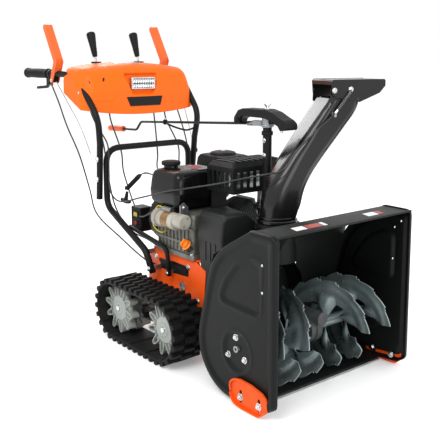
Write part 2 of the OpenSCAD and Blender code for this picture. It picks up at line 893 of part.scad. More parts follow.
module dash_shell() {
    color(orange) home() difference() {
        console_solid(0);
        console_solid(3.5);
        // recess of the headlight and slots of the two levers
        box([-72, 1090, 900], [72, 1150, 958]);
        for (s = [-1, 1]) box([s * lever_x - 7, lever_y - 12, 980], [s * lever_x + 7, lever_y + 50, 1030]);
        // openings for the handle tubes
        both_sides() {
            rod([-242, 1066, 800], [-250, 1190, 935], 17);
            rod([-249, 1180, 932], [-254, 1292, 966], 18);
            rod([-254, 1288, grip_h], [-handle_x, 1380, grip_h], 17);
        }
    }
}

module headlight() {
    color(steel) home() difference() {
        union() {
            box([-72, 1117, 900], [72, 1149, 958]);
            box([-66, 1149, 906], [66, 1164, 952]);
        }
        box([-67, 1110, 905], [67, 1128, 953]);
    }
}

module dash_plate() {
    color("#9a9c9e") home() difference() {
        box([-80, 1262, 1000], [80, 1346, 1017]);
        console_solid(0);
        box([-76, 1300, 1015], [76, 1308, 1020]);
    }
}

module grips() {
    color(rubber) home() both_sides() {
        difference() {
            union() {
                bar_y(grip_front, grip_back - 6, -handle_x, grip_h, grip_d / 2);
                bar_y(grip_back - 10, grip_back, -handle_x, grip_h, grip_d / 2 + 3);
                bar_y(grip_front, grip_front + 8, -handle_x, grip_h, grip_d / 2 + 2);
            }
            bar_y(grip_front - 10, grip_back - 7, -handle_x, grip_h, tube_r);
        }
        // lugs of the steering trigger and of the clutch paddle
        difference() {
            for (x = [-9, 5.5]) box([x - handle_x, 1412, 916], [x + 3.5 - handle_x, 1440, 952]);
            bar_x(-handle_x - 20, -handle_x + 20, trigger_y, trigger_z, 4.08);
        }
        difference() {
            box([-12.6 - handle_x, 1371, 930], [12.6 - handle_x, 1389, grip_h - tube_r]);
            bar_x(-handle_x - 20, -handle_x + 20, paddle_y, paddle_z, 4.08);
        }
    }
}

// Cheeks that straddle the tube, joined by a flange along the front of the upper arm.
module clutch_paddle() {
    translate([-handle_x, paddle_y, paddle_z]) {
        for (x = [-16.6, 13.8]) plate_yz(x, x + 2.8) polygon(strip([0, 0], paddle_knee, paddle_tip, 12));
        plate_yz(-15, 15) paddle_web_2d();
        bar_x(-16, 16, 0, 0, 4);
    }
}

paddle_knee = [-38, 76];
paddle_tip = [48, 216];

module paddle_web_2d() {
    d = unit(paddle_tip - paddle_knee);
    n = [-d.y, d.x];
    a = paddle_knee + d * 14;
    polygon([a + n * 11, paddle_tip + n * 11, paddle_tip + n * 8, a + n * 8]);
}

module clutch_paddle_right() {
    color(orange) home() clutch_paddle();
}

module clutch_paddle_left() {
    color(orange) home() mirror([1, 0, 0]) clutch_paddle();
}

module steering_trigger() {
    translate([-handle_x, trigger_y, trigger_z]) {
        plate_yz(-5, 5) polygon(strip([0, 0], [30, -16], [112, -22], 5.5));
        bar_x(-9, 9, 0, 0, 4);
    }
}

module steering_trigger_right() {
    color(rubber) home() steering_trigger();
}

module steering_trigger_left() {
    color(rubber) home() mirror([1, 0, 0]) steering_trigger();
}

module hand_lever(x) {
    translate([x, lever_y, lever_z]) rotate([-19, 0, 0]) {
        difference() {
            bar_x(-10, 10, 0, 0, 9);
            bar_x(-11, 11, 0, 0, 5.08);
        }
        translate([0, 0, 7]) cylinder(h = 113, r = 4);
        translate([0, 0, 88]) cylinder(h = 96, r1 = 9, r2 = 14.5);
        translate([0, 0, 184]) cylinder(h = 6, r1 = 14.5, r2 = 10);
    }
}

module speed_lever() {
    color(rubber) home() hand_lever(-lever_x);
}

module deflector_lever() {
    color(rubber) home() hand_lever(lever_x);
}

// ---------- chute ----------

// Turns the drawing from the chute's own frame, with +x along the throw.
module chute_frame() {
    translate([chute_x, chute_y, 0]) rotate(chute_yaw - 90) children();
}

// Height, back of the channel, open lip and corner radius, from the base to the top.
chute_sections = [
    [490, -60, 30, 56], [520, -60, 42, 56], [560, -57, 50, 55], [610, -42, 64, 53], [660, -10, 92, 46],
    [710, 26, 130, 38], [760, 66, 172, 32], [810, 104, 214, 28], [860, 142, 254, 24], [900, 170, 268, 22]];

// U-shaped section of the channel.
function channel(z, back, lip, rc) = let (w = chute_half_w, t = 3) concat(
    [[lip, -w, z]],
    [for (k = [0 : 4]) let (a = 270 - 90 * k / 4) [back + rc + rc * cos(a), -w + rc + rc * sin(a), z]],
    [for (k = [0 : 4]) let (a = 180 - 90 * k / 4) [back + rc + rc * cos(a), w - rc + rc * sin(a), z]],
    [[lip, w, z], [lip, w - t, z]],
    [for (k = [0 : 4]) let (a = 90 + 90 * k / 4)
        [back + rc + (rc - t * 1.25) * cos(a), w - rc + (rc - t) * sin(a), z]],
    [for (k = [0 : 4]) let (a = 180 + 90 * k / 4)
        [back + rc + (rc - t * 1.25) * cos(a), -w + rc + (rc - t) * sin(a), z]],
    [[lip, t - w, z]]);

module chute_shell() {
    color(black) home() chute_frame() {
        loft([for (s = chute_sections) channel(s[0], s[1], s[2], s[3])]);
        difference() {
            translate([0, 0, 484]) cylinder(h = 16, r = 66);
            translate([0, 0, 483]) cylinder(h = 18, r = 56);
        }
        // ears and pin of the deflector hinge, cable pad on the right flank
        for (w = [-chute_half_w + 0.2, chute_half_w - 3]) plate_xz(w, w + 2.8) {
            translate([hinge_s, hinge_z]) circle(10);
            polygon([[hinge_s - 10, hinge_z], [hinge_s + 10, hinge_z], [hinge_s + 24, 885], [hinge_s - 12, 885]]);
        }
        for (w = [-chute_half_w - 8, chute_half_w - 3]) bar_y(w, w + 11, hinge_s, hinge_z, hinge_r);
        box([168, -chute_half_w - 4, 842], [186, -chute_half_w + 0.5, 854]);
    }
}

module chute_ring() {
    color(black) home() translate([chute_x, chute_y, 0]) {
        difference() {
            union() {
                translate([0, 0, gear_z - 5]) linear_extrude(10) gear_2d(ring_teeth, gear_mod);
                translate([0, 0, gear_z + 5]) cylinder(h = chute_z - gear_z - 5, r = 76);
            }
            translate([0, 0, 400]) cylinder(h = 200, r = 64.1);
        }
    }
}

module chute_post() {
    color(black) home() {
        difference() {
            translate([post_x, post_y, 512]) cylinder(h = 284, r = 15.5);
            translate([post_x, post_y, 500]) cylinder(h = 300, r = 12);
        }
        difference() {
            translate([post_x, post_y, 512]) cylinder(h = 12, r = 15.6);
            translate([post_x, post_y, 500]) cylinder(h = 30, r = 6.1);
        }
    }
}

module chute_pinion() {
    color(steel) home() translate([post_x, post_y, 0]) {
        difference() {
            translate([0, 0, gear_z - 8]) linear_extrude(12.5) rotate(pinion_phase) gear_2d(pinion_teeth, gear_mod);
            translate([0, 0, 400]) cylinder(h = 100, r = 5.9);
        }
        translate([0, 0, gear_z - 10]) cylinder(h = 796 - gear_z, r = 6);
        translate([0, 0, 786]) cylinder(h = 8, r = 11);
    }
}
// A gap of the pinion faces the tooth of the ring on the line between the two axes.
line_angle = 90 - post_angle;
ring_lag = line_angle / (360 / ring_teeth) - floor(line_angle / (360 / ring_teeth));
pinion_phase = line_angle + 180 + (0.5 + ring_lag) * 360 / pinion_teeth;

module chute_head() {
    color(black) home() {
        difference() {
            plate_yz(post_x - 30, post_x + 30) polygon([
                [584, 800], [584, 822], [566, 846], [540, 856], [420, 858], [386, 850], [352, 836],
                [330, 826], [316, 812], [316, 796], [352, 796], [380, 800]]);
            plate_yz(post_x - 26, post_x + 26) polygon([
                [590, 790], [590, 822], [562, 842], [540, 852], [420, 854], [390, 846], [356, 830],
                [340, 820], [340, 790]]);
            rod(crank_inner, crank_outer, 5.08);
        }
        // bracket over the tube and wing nut
        difference() {
            translate([post_x, post_y, 796]) cylinder(h = 4, r = 24);
            translate([post_x, post_y, 790]) cylinder(h = 20, r = 7);
        }
        translate([post_x, post_y, 858]) cylinder(h = 14, r = 5);
        box([post_x - 14, post_y - 2, 864], [post_x + 14, post_y + 2, 876]);
    }
}

module deflector() {
    inner = chute_half_w + 1.5;
    outer = inner + 3;
    color(black) home() chute_frame() difference() {
        plate_xz(-outer, outer) polygon([
            [168, 912], [164, 958], [172, 963], [376, 963], [380, 958], [380, 940], [357, 916], [276, 886], [180, 904]]);
        plate_xz(-inner, inner) polygon([
            [150, 850], [150, 960], [394, 960], [394, 850]]);
        plate_xz(-outer - 1, outer + 1) translate([hinge_s, hinge_z]) circle(hinge_r + 0.06);
    }
}

// ---------- crank, cables, bolts ----------

module chute_crank() {
    color(black) home() {
        bent_bar([crank_inner, crank_outer, [100, 1330, 715], [100, 1436, 711]], 5);
        color(orange) rod([100, 1436, 711], [100, 1560, 706], 14);
    }
}

module control_cables() {
    color(rubber) home() {
        both_sides() {
            // steering cable from the trigger down the handle to the frame
            cable([[-262, 1410, 920], [-275, 1370, 905], [-282, 1310, 850], [-280, 1250, 760], [-266, 1180, 650],
                [-250, 1134, 520], [-238, 1100, 420], [-222, 950, 350], [-190, 845, 288], [-166, 800, 270]], 3, 5);
            // thin steel rod of the clutch
            cable([[-278, 1335, 935], [-276, 1235, 845], [-262, 1170, 760], [-250, 1118, 660]], 1.6, 3);
        }
        // shift, drive and auger clutch cables from the console to the frame
        cable([[-200, 1170, 850], [-196, 1165, 800], [-194, 1112, 690], [-178, 1108, 560], [-174, 1060, 440],
            [-152, 985, 362], [-130, 900, 338], [-100, 824, 300]], 3, 5);
        cable([[-140, 1160, 845], [-136, 1150, 780], [-112, 1116, 660], [-102, 1110, 560], [-98, 1000, 400],
            [-70, 880, 340], [-50, 824, 300]], 3, 5);
        cable([[60, 1150, 835], [66, 1140, 790], [62, 1112, 640], [60, 1108, 560], [50, 1000, 400],
            [20, 880, 340], [0, 824, 300]], 3, 5);
        cable([[130, 1160, 840], [126, 1140, 775], [168, 1112, 660], [172, 1108, 560], [160, 1020, 420],
            [80, 880, 340], [50, 824, 300]], 3, 5);
        // arm and eye that hold the crank rod
        cable([[221, 1074, 735], [190, 1080, 728], [150, 1088, 738], [102, 1094, 757]], 4, 4, [0, 0.1, 1]);
        difference() {
            translate(crank_at(1090)) crank_turn() cylinder(h = 8, r = 11);
            rod(crank_inner, crank_outer, 5.1);
        }
    }
}

// Point of the crank rod's axis at a given distance back, and the turn onto that axis.
function crank_at(y) = crank_inner + (crank_outer - crank_inner) * (y - crank_inner.y) / (crank_outer.y - crank_inner.y);

module crank_turn() {
    d = unit(crank_outer - crank_inner);
    rotate([0, acos(d.z), atan2(d.y, d.x)]) children();
}

module deflector_cable() {
    color(rubber) home() cable([[-226, 1170, 850], [-214, 1150, 790], [-206, 1100, 735], [-204, 1062, 690],
        [-206, 1056, 600], [-216, 1030, 520], [-222, 950, 492], [-222, 800, 530], [-216, 660, 570], [-200, 575, 590], [-120, 470, 615],
        [-74, 410, 634], [-40, 330, 655], [-5, 281, 675], [44, 270, 735], [117, 250, 800], [184, 233, 855],
        [240, 216, 926]], 3, 5);
}

module bearing_bolts() {
    for (p = [[177, 203], [213, 139], [136, 144]]) hex_head([-308, p[0], p[1]], [0, -90, 0], 8, 6);
}

module fasteners() {
    color(steel) home() both_sides() {
        bearing_bolts();
        for (p = [[64, 372], [68, 300]]) translate([-308, p[0], p[1]]) rotate([0, -90, 0]) cylinder(h = 3, r = 5);
        // skid shoe bolts
        for (p = [[138, 33], [56, 33]]) {
            hex_head([-310.1, p[0], p[1]], [0, -90, 0], 9, 6);
            bar_x(-310.1, -301, p[0], p[1], 5);
        }
        for (p = [[600, 300], [800, 300], [545, 190]]) hex_head([-plate_x, p[0], p[1]], [0, -90, 0], 8, 5);
        for (p = [[1090, 560, 241.2], [1084, 640, 242.4]]) hex_head([-p[2], p[0], p[1]], [0, -90, 0], 8, 5);
    }
}

module skid_shoe() {
    difference() {
        union() {
            plate_yz(-309.9, -305.4) polygon([
                [22, 8], [34, 0], [168, 0], [180, 10], [182, 60], [168, 80], [140, 88], [90, 84], [40, 62], [24, 50]]);
            box([-332, 34, 0], [-305.4, 168, 5]);
            // folded upper edge
            plate_yz(-320, -309.8) polygon([
                [40, 58], [90, 80], [140, 84], [168, 76], [168, 80], [140, 88], [90, 84], [40, 62]]);
        }
        for (y = [138, 56]) plate_yz(-320, -300) slot_2d([y, 20], [y, 50], 5.6);
    }
}

module skid_shoe_right() {
    color(orange) home() skid_shoe();
}

module skid_shoe_left() {
    color(orange) home() mirror([1, 0, 0]) skid_shoe();
}

auger_housing();
housing_side_right();
housing_side_left();
scraper_bar();
impeller_drum();
chute_post();
chute_head();
frame_plate_right();
frame_plate_left();
frame_deck();
belt_cover();
engine_crankcase();
engine_cylinder();
fuel_tank();
muffler_guard();
air_box();
recoil_housing();
electric_starter();
switch_box();
track_frames();
track_belt_right();
track_belt_left();
handle_lower();
handle_upper();
dash_shell();
headlight();
dash_plate();
grips();
control_cables();
deflector_cable();
fasteners();
auger_gearbox();
drive_belt();
auger_shaft();
auger_flight_right();
auger_flight_left();
impeller();
auger_pulley();
crankshaft();
chute_ring();
chute_shell();
chute_pinion();
deflector();
chute_crank();
clutch_paddle_right();
clutch_paddle_left();
steering_trigger_right();
steering_trigger_left();
speed_lever();
deflector_lever();
wheel_front_right();
wheel_front_left();
wheel_rear_right();
wheel_rear_left();
skid_shoe_right();
skid_shoe_left();
fuel_cap();
oil_cap();
recoil_handle();
friction_wheel();
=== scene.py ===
import math

import bmesh
import bpy
from mathutils import Matrix, Vector


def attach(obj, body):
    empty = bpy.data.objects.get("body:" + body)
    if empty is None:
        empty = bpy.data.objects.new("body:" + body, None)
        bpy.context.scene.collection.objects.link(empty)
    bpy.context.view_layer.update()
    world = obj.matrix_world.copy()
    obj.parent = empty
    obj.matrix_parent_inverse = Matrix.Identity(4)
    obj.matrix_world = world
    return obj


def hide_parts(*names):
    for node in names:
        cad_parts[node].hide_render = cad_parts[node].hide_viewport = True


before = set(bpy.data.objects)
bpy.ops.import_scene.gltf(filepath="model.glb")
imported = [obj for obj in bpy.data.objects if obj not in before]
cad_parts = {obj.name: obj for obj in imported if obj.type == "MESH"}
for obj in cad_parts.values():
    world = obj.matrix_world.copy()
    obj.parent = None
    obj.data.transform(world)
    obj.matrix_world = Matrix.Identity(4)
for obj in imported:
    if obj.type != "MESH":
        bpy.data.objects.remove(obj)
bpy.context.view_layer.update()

# Machine coordinates in millimetres: x across, y back from the housing's front edge, z up.
MID_X, MID_Y = 37.8728, 814.5

# Directions in the machine frame.
INBOARD, OUTBOARD = (1, 0, 0), (-1, 0, 0)
REARWARD, FORWARD = (0, 1, 0), (0, -1, 0)
UP, DOWN = (0, 0, 1), (0, 0, -1)

AUGER = 170          # the auger shaft's distance back and height
SHELL_X = 305        # outer face of the housing sides
GRIP_X, GRIP_Z = -262, 965
PIVOT_Y, PIVOT_Z = 1380, 939     # paddle hinge


def P(x, y, z):
    """Point in the row frame, in metres, from machine millimetres."""
    return Vector(((x - MID_X) / 1000, (y - MID_Y) / 1000, z / 1000))


# ---------------------------------------------------------------- materials

def material(name, color, rough, metal=0.0, coat=0.0, color2=None, scale=6.0, bump=0.0, bump_scale=600.0,
             rough_var=0.08, specular=0.5, wear=None, stretch=None):
    """Procedural finish: two tones mixed by noise, roughness variation and a fine bump."""
    m = bpy.data.materials.new(name)
    m.use_nodes = True
    nt = m.node_tree
    n, link = nt.nodes, nt.links
    bsdf = n["Principled BSDF"]
    bsdf.inputs["Metallic"].default_value = metal
    bsdf.inputs["Specular IOR Level"].default_value = specular
    bsdf.inputs["Coat Weight"].default_value = coat
    bsdf.inputs["Coat Roughness"].default_value = 0.08
    coord = n.new("ShaderNodeTexCoord")
    vec = coord.outputs["Object"]
    if stretch:
        mapping = n.new("ShaderNodeMapping")
        mapping.inputs["Scale"].default_value = stretch
        link.new(vec, mapping.inputs["Vector"])
        vec = mapping.outputs["Vector"]
    tone = n.new("ShaderNodeTexNoise")
    tone.inputs["Scale"].default_value = scale
    tone.inputs["Detail"].default_value = 6
    link.new(vec, tone.inputs["Vector"])
    ramp = n.new("ShaderNodeValToRGB")
    c2 = color2 or tuple(c * 0.82 for c in color)
    ramp.color_ramp.elements[0].position = 0.35
    ramp.color_ramp.elements[1].position = 0.65
    ramp.color_ramp.elements[0].color = (*c2, 1)
    ramp.color_ramp.elements[1].color = (*color, 1)
    link.new(tone.outputs["Fac"], ramp.inputs["Fac"])
    out = ramp.outputs["Color"]
    if wear:
        geo = n.new("ShaderNodeNewGeometry")
        edge = n.new("ShaderNodeMapRange")
        edge.inputs["From Min"].default_value = 0.52
        edge.inputs["From Max"].default_value = 0.60
        link.new(geo.outputs["Pointiness"], edge.inputs["Value"])
        rub = n.new("ShaderNodeTexNoise")
        rub.inputs["Scale"].default_value = 60
        link.new(vec, rub.inputs["Vector"])
        both = n.new("ShaderNodeMath")
        both.operation = "MULTIPLY"
        link.new(edge.outputs["Result"], both.inputs[0])
        link.new(rub.outputs["Fac"], both.inputs[1])
        mix = n.new("ShaderNodeMix")
        mix.data_type = "RGBA"
        link.new(both.outputs["Value"], mix.inputs["Factor"])
        link.new(out, mix.inputs["A"])
        mix.inputs["B"].default_value = (*wear, 1)
        out = mix.outputs["Result"]
    link.new(out, bsdf.inputs["Base Color"])
    spread = n.new("ShaderNodeMapRange")
    spread.inputs["To Min"].default_value = max(rough - rough_var, 0.02)
    spread.inputs["To Max"].default_value = min(rough + rough_var, 1)
    patch = n.new("ShaderNodeTexNoise")
    patch.inputs["Scale"].default_value = scale * 7
    patch.inputs["Detail"].default_value = 4
    link.new(vec, patch.inputs["Vector"])
    link.new(patch.outputs["Fac"], spread.inputs["Value"])
    link.new(spread.outputs["Result"], bsdf.inputs["Roughness"])
    if bump:
        grain = n.new("ShaderNodeTexNoise")
        grain.inputs["Scale"].default_value = bump_scale
        grain.inputs["Detail"].default_value = 3
        link.new(vec, grain.inputs["Vector"])
        b = n.new("ShaderNodeBump")
        b.inputs["Strength"].default_value = bump
        b.inputs["Distance"].default_value = 0.0006
        link.new(grain.outputs["Fac"], b.inputs["Height"])
        link.new(b.outputs["Normal"], bsdf.inputs["Normal"])
    return m


def rgb(code):
    """Linear colour from a hex code."""
    v = [int(code[i:i + 2], 16) / 255 for i in (0, 2, 4)]
    return tuple(c / 12.92 if c <= 0.04045 else ((c + 0.055) / 1.055) ** 2.4 for c in v)


POWDER = material("black_powder_coat", rgb("151716"), 0.38, bump=0.2, bump_scale=1400, color2=rgb("101211"),
                  scale=4, specular=0.14)
POWDER_IN = material("black_housing_inside", rgb("171a18"), 0.5, bump=0.3, bump_scale=900,
                     color2=rgb("111412"), scale=5, specular=0.2)
GLOSS = material("gloss_black_paint", rgb("0d0e0d"), 0.26, coat=0.25, color2=rgb("090a09"), scale=5,
                 rough_var=0.04, specular=0.3)
TANK = material("tank_black", rgb("090a0a"), 0.2, coat=0.1, color2=rgb("060606"), scale=6, rough_var=0.04,
                specular=0.2)
BLACK = material("black_moulding", rgb("131414"), 0.46, bump=0.35, bump_scale=1800, color2=rgb("0f1010"),
                 scale=9, specular=0.18)
COVER = material("belt_cover_moulding", rgb("242625"), 0.4, bump=0.35, bump_scale=1500, color2=rgb("1c1e1d"),
                 scale=7, specular=0.3)
ORANGE = material("orange_moulding", rgb("ee640e"), 0.46, coat=0.0, color2=rgb("ea600b"), scale=3,
                  rough_var=0.04, specular=0.16)
PAINT = material("orange_paint", rgb("ea5614"), 0.36, coat=0.04, color2=rgb("e04f10"), scale=6, bump=0.12,
                 bump_scale=500, wear=rgb("b8400f"), specular=0.16)
PADDLE = material("orange_paddle", rgb("dc6430"), 0.44, color2=rgb("d65e2b"), scale=8, bump=0.15,
                  bump_scale=900, specular=0.18)
SLATE = material("auger_grey_paint", rgb("828e8e"), 0.25, metal=0.5, color2=rgb("566262"), scale=7, bump=0.2,
                 bump_scale=260, wear=rgb("b9c2c4"))
STEEL = material("bare_steel", rgb("a6a9ab"), 0.33, metal=0.95, color2=rgb("8d9093"), scale=30, bump=0.1,
                 bump_scale=900)
CHROME = material("bright_zinc", rgb("dfe1e2"), 0.16, metal=1.0, color2=rgb("c6c9cb"), scale=40,
                  rough_var=0.06)
CAST = material("cast_aluminium", rgb("62625b"), 0.45, metal=0.45, color2=rgb("3e3d39"), scale=14, bump=0.6,
                bump_scale=420, wear=rgb("a5a59e"))
FINS = material("cylinder_fins", rgb("5a5d5e"), 0.5, metal=0.5, color2=rgb("3c3f40"), scale=16, bump=0.4,
                bump_scale=500)
IRON = material("gear_case_iron", rgb("4c4f4f"), 0.5, metal=0.3, color2=rgb("383b3b"), scale=15, bump=0.6,
                bump_scale=300)
RUBBER = material("track_rubber", rgb("0f0f0f"), 0.56, color2=rgb("0a0a0a"), scale=14, bump=0.6,
                  bump_scale=700, specular=0.15, wear=rgb("2a2a2a"))
GRIP = material("grip_rubber", rgb("101010"), 0.5, color2=rgb("0b0b0b"), scale=20, bump=0.5, bump_scale=1100,
                specular=0.18)
CABLE = material("cable_sheath", rgb("191919"), 0.4, color2=rgb("131313"), scale=30, bump=0.1)
WHEEL = material("grey_wheel_plastic", rgb("9a9f99"), 0.42, color2=rgb("8c918c"), scale=9, bump=0.25,
                 bump_scale=900, specular=0.3)
WHITE = material("starter_white", rgb("a9a59a"), 0.34, color2=rgb("8f8b80"), scale=12, bump=0.15,
                 specular=0.35)
BROWN = material("starter_band", rgb("8c6b3a"), 0.3, metal=0.2, color2=rgb("5f4524"), scale=5,
                 stretch=(1, 1, 120))
YELLOW = material("yellow_wire", rgb("b8a62c"), 0.4, color2=rgb("9b8b22"), scale=20)
CAPS = material("oil_cap_orange", rgb("ff8a20"), 0.32, color2=rgb("f77f18"), scale=10, bump=0.1)
PLATE = material("label_grey", rgb("9a9b9c"), 0.35, metal=0.2, color2=rgb("868788"), scale=60)
RED = material("label_red", rgb("a3241c"), 0.35, color2=rgb("8d1d16"), scale=12)
PALE = material("label_white", rgb("e6e6e4"), 0.4, color2=rgb("dadad8"), scale=30)


# ---------------------------------------------------------------- mesh helpers

class Piece:
    """Collects shapes in machine millimetres and turns them into one object on one body."""

    def __init__(self):
        self.verts, self.faces, self.slots, self.mats = [], [], [], []

    def add(self, shape, mat, s=1):
        """Adds a shape, mirrored when s is -1."""
        verts, faces = side(shape, s)
        base = len(self.verts)
        self.verts += [Vector(v) for v in verts]
        self.faces += [[base + i for i in f] for f in faces]
        if mat not in self.mats:
            self.mats.append(mat)
        self.slots += [self.mats.index(mat)] * len(faces)
        return self

    def mesh(self, name, weld=False):
        mesh = bpy.data.meshes.new(name)
        mesh.from_pydata([P(*v) for v in self.verts], [], self.faces)
        for m in self.mats:
            mesh.materials.append(m)
        for poly, s in zip(mesh.polygons, self.slots):
            poly.material_index = s
        bm = bmesh.new()
        bm.from_mesh(mesh)
        if weld:
            bmesh.ops.remove_doubles(bm, verts=bm.verts, dist=0.00002)
        bmesh.ops.recalc_face_normals(bm, faces=bm.faces)
        bm.to_mesh(mesh)
        bm.free()
        return mesh

    def build(self, name, slot, body="chassis", replaces=False, bevel=0.0, angle=35, sub=0, solid=0.0,
              segments=2, weld=False):
        """One object, riding on its body; with replaces it stands for the CAD node of its slot."""
        mesh = self.mesh(name, weld)
        mesh.shade_smooth()
        o = bpy.data.objects.new(name, mesh)
        bpy.context.collection.objects.link(o)
        if solid:
            mod = o.modifiers.new("thickness", "SOLIDIFY")
            mod.thickness = abs(solid) / 1000
            mod.offset = -1 if solid > 0 else 1
        if sub:
            mod = o.modifiers.new("smooth", "SUBSURF")
            mod.levels = mod.render_levels = sub
        soften(o, bevel, angle, segments)
        if replaces:
            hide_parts(slot)
        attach(o, body)
        return o


def soften(o, bevel, angle=35, segments=2):
    """Rounded edges with even shading."""
    if bevel:
        mod = o.modifiers.new("edges", "BEVEL")
        mod.width = bevel / 1000
        mod.segments = segments
        mod.limit_method = "ANGLE"
        mod.angle_limit = math.radians(angle)
        mod.use_clamp_overlap = True
        mod.harden_normals = False
    mod = o.modifiers.new("shading", "WEIGHTED_NORMAL")
    mod.keep_sharp = True


def cad(node, mat, bevel=0.6, angle=28):
    """Keeps a CAD node and gives it its finish and softened edges."""
    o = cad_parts[node]
    for s in o.material_slots:
        s.material = mat
    if not o.material_slots:
        o.data.materials.append(mat)
    weld = o.modifiers.new("weld", "WELD")
    weld.merge_threshold = 0.00002
    if bevel:
        mod = o.modifiers.new("edges", "BEVEL")
        mod.width = bevel / 1000
        mod.segments = 2
        mod.limit_method = "ANGLE"
        mod.angle_limit = math.radians(angle)
    smooth = o.modifiers.new("by_angle", "EDGE_SPLIT")
    smooth.split_angle = math.radians(38)
    smooth.use_edge_sharp = False
    o.data.polygons.foreach_set("use_smooth", [True] * len(o.data.polygons))
    return o


def unit(v):
    return Vector(v).normalized()


def frame_of(axis):
    """Two unit vectors square to an axis."""
    a = unit(axis)
    ref = Vector((0, 0, 1)) if abs(a.z) < 0.9 else Vector((1, 0, 0))
    u = a.cross(ref).normalized()
    return u, a.cross(u)


def box(lo, hi):
    x0, y0, z0 = lo
    x1, y1, z1 = hi
    v = [(x0, y0, z0), (x1, y0, z0), (x1, y1, z0), (x0, y1, z0), (x0, y0, z1), (x1, y0, z1), (x1, y1, z1),
         (x0, y1, z1)]
    f = [(0, 3, 2, 1), (4, 5, 6, 7), (0, 1, 5, 4), (1, 2, 6, 5), (2, 3, 7, 6), (3, 0, 4, 7)]
    return v, f


def prism(outline, plane, a, b):
    """Flat outline thickened from a to b along the third axis."""
    put = {"yz": lambda p, t: (t, p[0], p[1]),
           "xz": lambda p, t: (p[0], t, p[1]),
           "xy": lambda p, t: (p[0], p[1], t)}[plane]
    n = len(outline)
    v = [put(p, a) for p in outline] + [put(p, b) for p in outline]
    f = [tuple(range(n - 1, -1, -1)), tuple(range(n, 2 * n))]
    f += [(i, (i + 1) % n, n + (i + 1) % n, n + i) for i in range(n)]
    return v, f


def rounded(outline, r, n=5):
    """Outline with its corners rounded to radius r."""
    out = []
    count = len(outline)
    for i in range(count):
        p0, p1, p2 = (Vector(outline[(i + k) % count]) for k in (-1, 0, 1))
        a, b = p0 - p1, p2 - p1
        turn = math.pi - a.angle(b)
        if turn < 0.05:
            out.append(tuple(p1))
            continue
        cut = min(r * math.tan(turn / 2), a.length * 0.48, b.length * 0.48)
        q0, q1 = p1 + a.normalized() * cut, p1 + b.normalized() * cut
        for k in range(n + 1):
            t = k / n
            out.append(tuple(q0 * (1 - t) ** 2 + p1 * 2 * t * (1 - t) + q1 * t * t))
    return out


def rect(a0, b0, a1, b1, r, n):
    """Rectangle with rounded corners."""
    return rounded([(a0, b0), (a1, b0), (a1, b1), (a0, b1)], r, n)


def lathe(origin, axis, profile, n=32, close=True):
    """Turned shape: profile is a list of (distance along the axis, radius)."""
    u, w = frame_of(axis)
    a = unit(axis)
    o = Vector(origin)
    v, f = [], []
    for h, r in profile:
        for k in range(n):
            t = 2 * math.pi * k / n
            v.append(o + a * h + (u * math.cos(t) + w * math.sin(t)) * r)
    rows = len(profile)
    for i in range(rows - 1):
        for k in range(n):
            j = (k + 1) % n
            f.append((i * n + k, i * n + j, (i + 1) * n + j, (i + 1) * n + k))
    if close:
        f.append(tuple(range(n - 1, -1, -1)))
        f.append(tuple((rows - 1) * n + k for k in range(n)))
    return v, f


def disc_profile(h0, h1, r, e=1.5):
    """Profile of a short cylinder with rounded edges."""
    return [(h0, r - e), (h0 + e * 0.3, r - e * 0.3), (h0 + e, r), (h1 - e, r), (h1 - e * 0.3, r - e * 0.3),
            (h1, r - e)]


def cyl(origin, axis, h0, h1, r, e=1.2, n=32):
    return lathe(origin, axis, disc_profile(h0, h1, r, e), n)


def ring_band(origin, axis, h0, h1, r0, r1, e=1.0, n=40):
    """Ring with a square section and rounded edges."""
    prof = [(h0 + e, r0), (h0, r0 + e), (h0, r1 - e), (h0 + e, r1), (h1 - e, r1), (h1, r1 - e), (h1, r0 + e),
            (h1 - e, r0)]
    return lathe(origin, axis, prof + [prof[0]], n, close=False)


def hexagon(origin, axis, h0, h1, r, washer=True):
    """Bolt head with a chamfered top, on a washer."""
    v, f = lathe(origin, axis, [(h0, r * 0.98), (h0 + 0.3, r), (h1 - 1.2, r), (h1, r * 0.86)], 6)
    if washer:
        w, g = lathe(origin, axis, disc_profile(h0, h0 + 1.4, r * 1.35, 0.5), 24)
        base = len(v)
        v = v + w
        f = f + [tuple(base + i for i in q) for q in g]
    return v, f


def catmull(p0, p1, p2, p3, t):
    """Point at t between p1 and p2 on a smooth curve past p0 and p3."""
    return 0.5 * (2 * p1 + (p2 - p0) * t + (2 * p0 - 5 * p1 + 4 * p2 - p3) * t * t
                  + (3 * p1 - p0 - 3 * p2 + p3) * t ** 3)


def spline(pts, steps=8):
    """Smooth curve through points."""
    pts = [Vector(p) for p in pts]
    out = []
    for i in range(len(pts) - 1):
        p0, p1, p2, p3 = pts[max(i - 1, 0)], pts[i], pts[i + 1], pts[min(i + 2, len(pts) - 1)]
        for k in range(steps):
            t = k / steps
            out.append(catmull(p0, p1, p2, p3, t))
    out.append(pts[-1])
    return out


def bends(pts, r, steps=8):
    """Straight runs joined by round bends."""
    pts = [Vector(p) for p in pts]
    out = [pts[0]]
    for i in range(1, len(pts) - 1):
        a, b = pts[i - 1] - pts[i], pts[i + 1] - pts[i]
        cut = min(r * math.tan((math.pi - a.angle(b)) / 2), a.length * 0.49, b.length * 0.49)
        q0, q1 = pts[i] + a.normalized() * cut, pts[i] + b.normalized() * cut
        for k in range(steps + 1):
            t = k / steps
            out.append(q0 * (1 - t) ** 2 + pts[i] * 2 * t * (1 - t) + q1 * t * t)
    out.append(pts[-1])
    return out


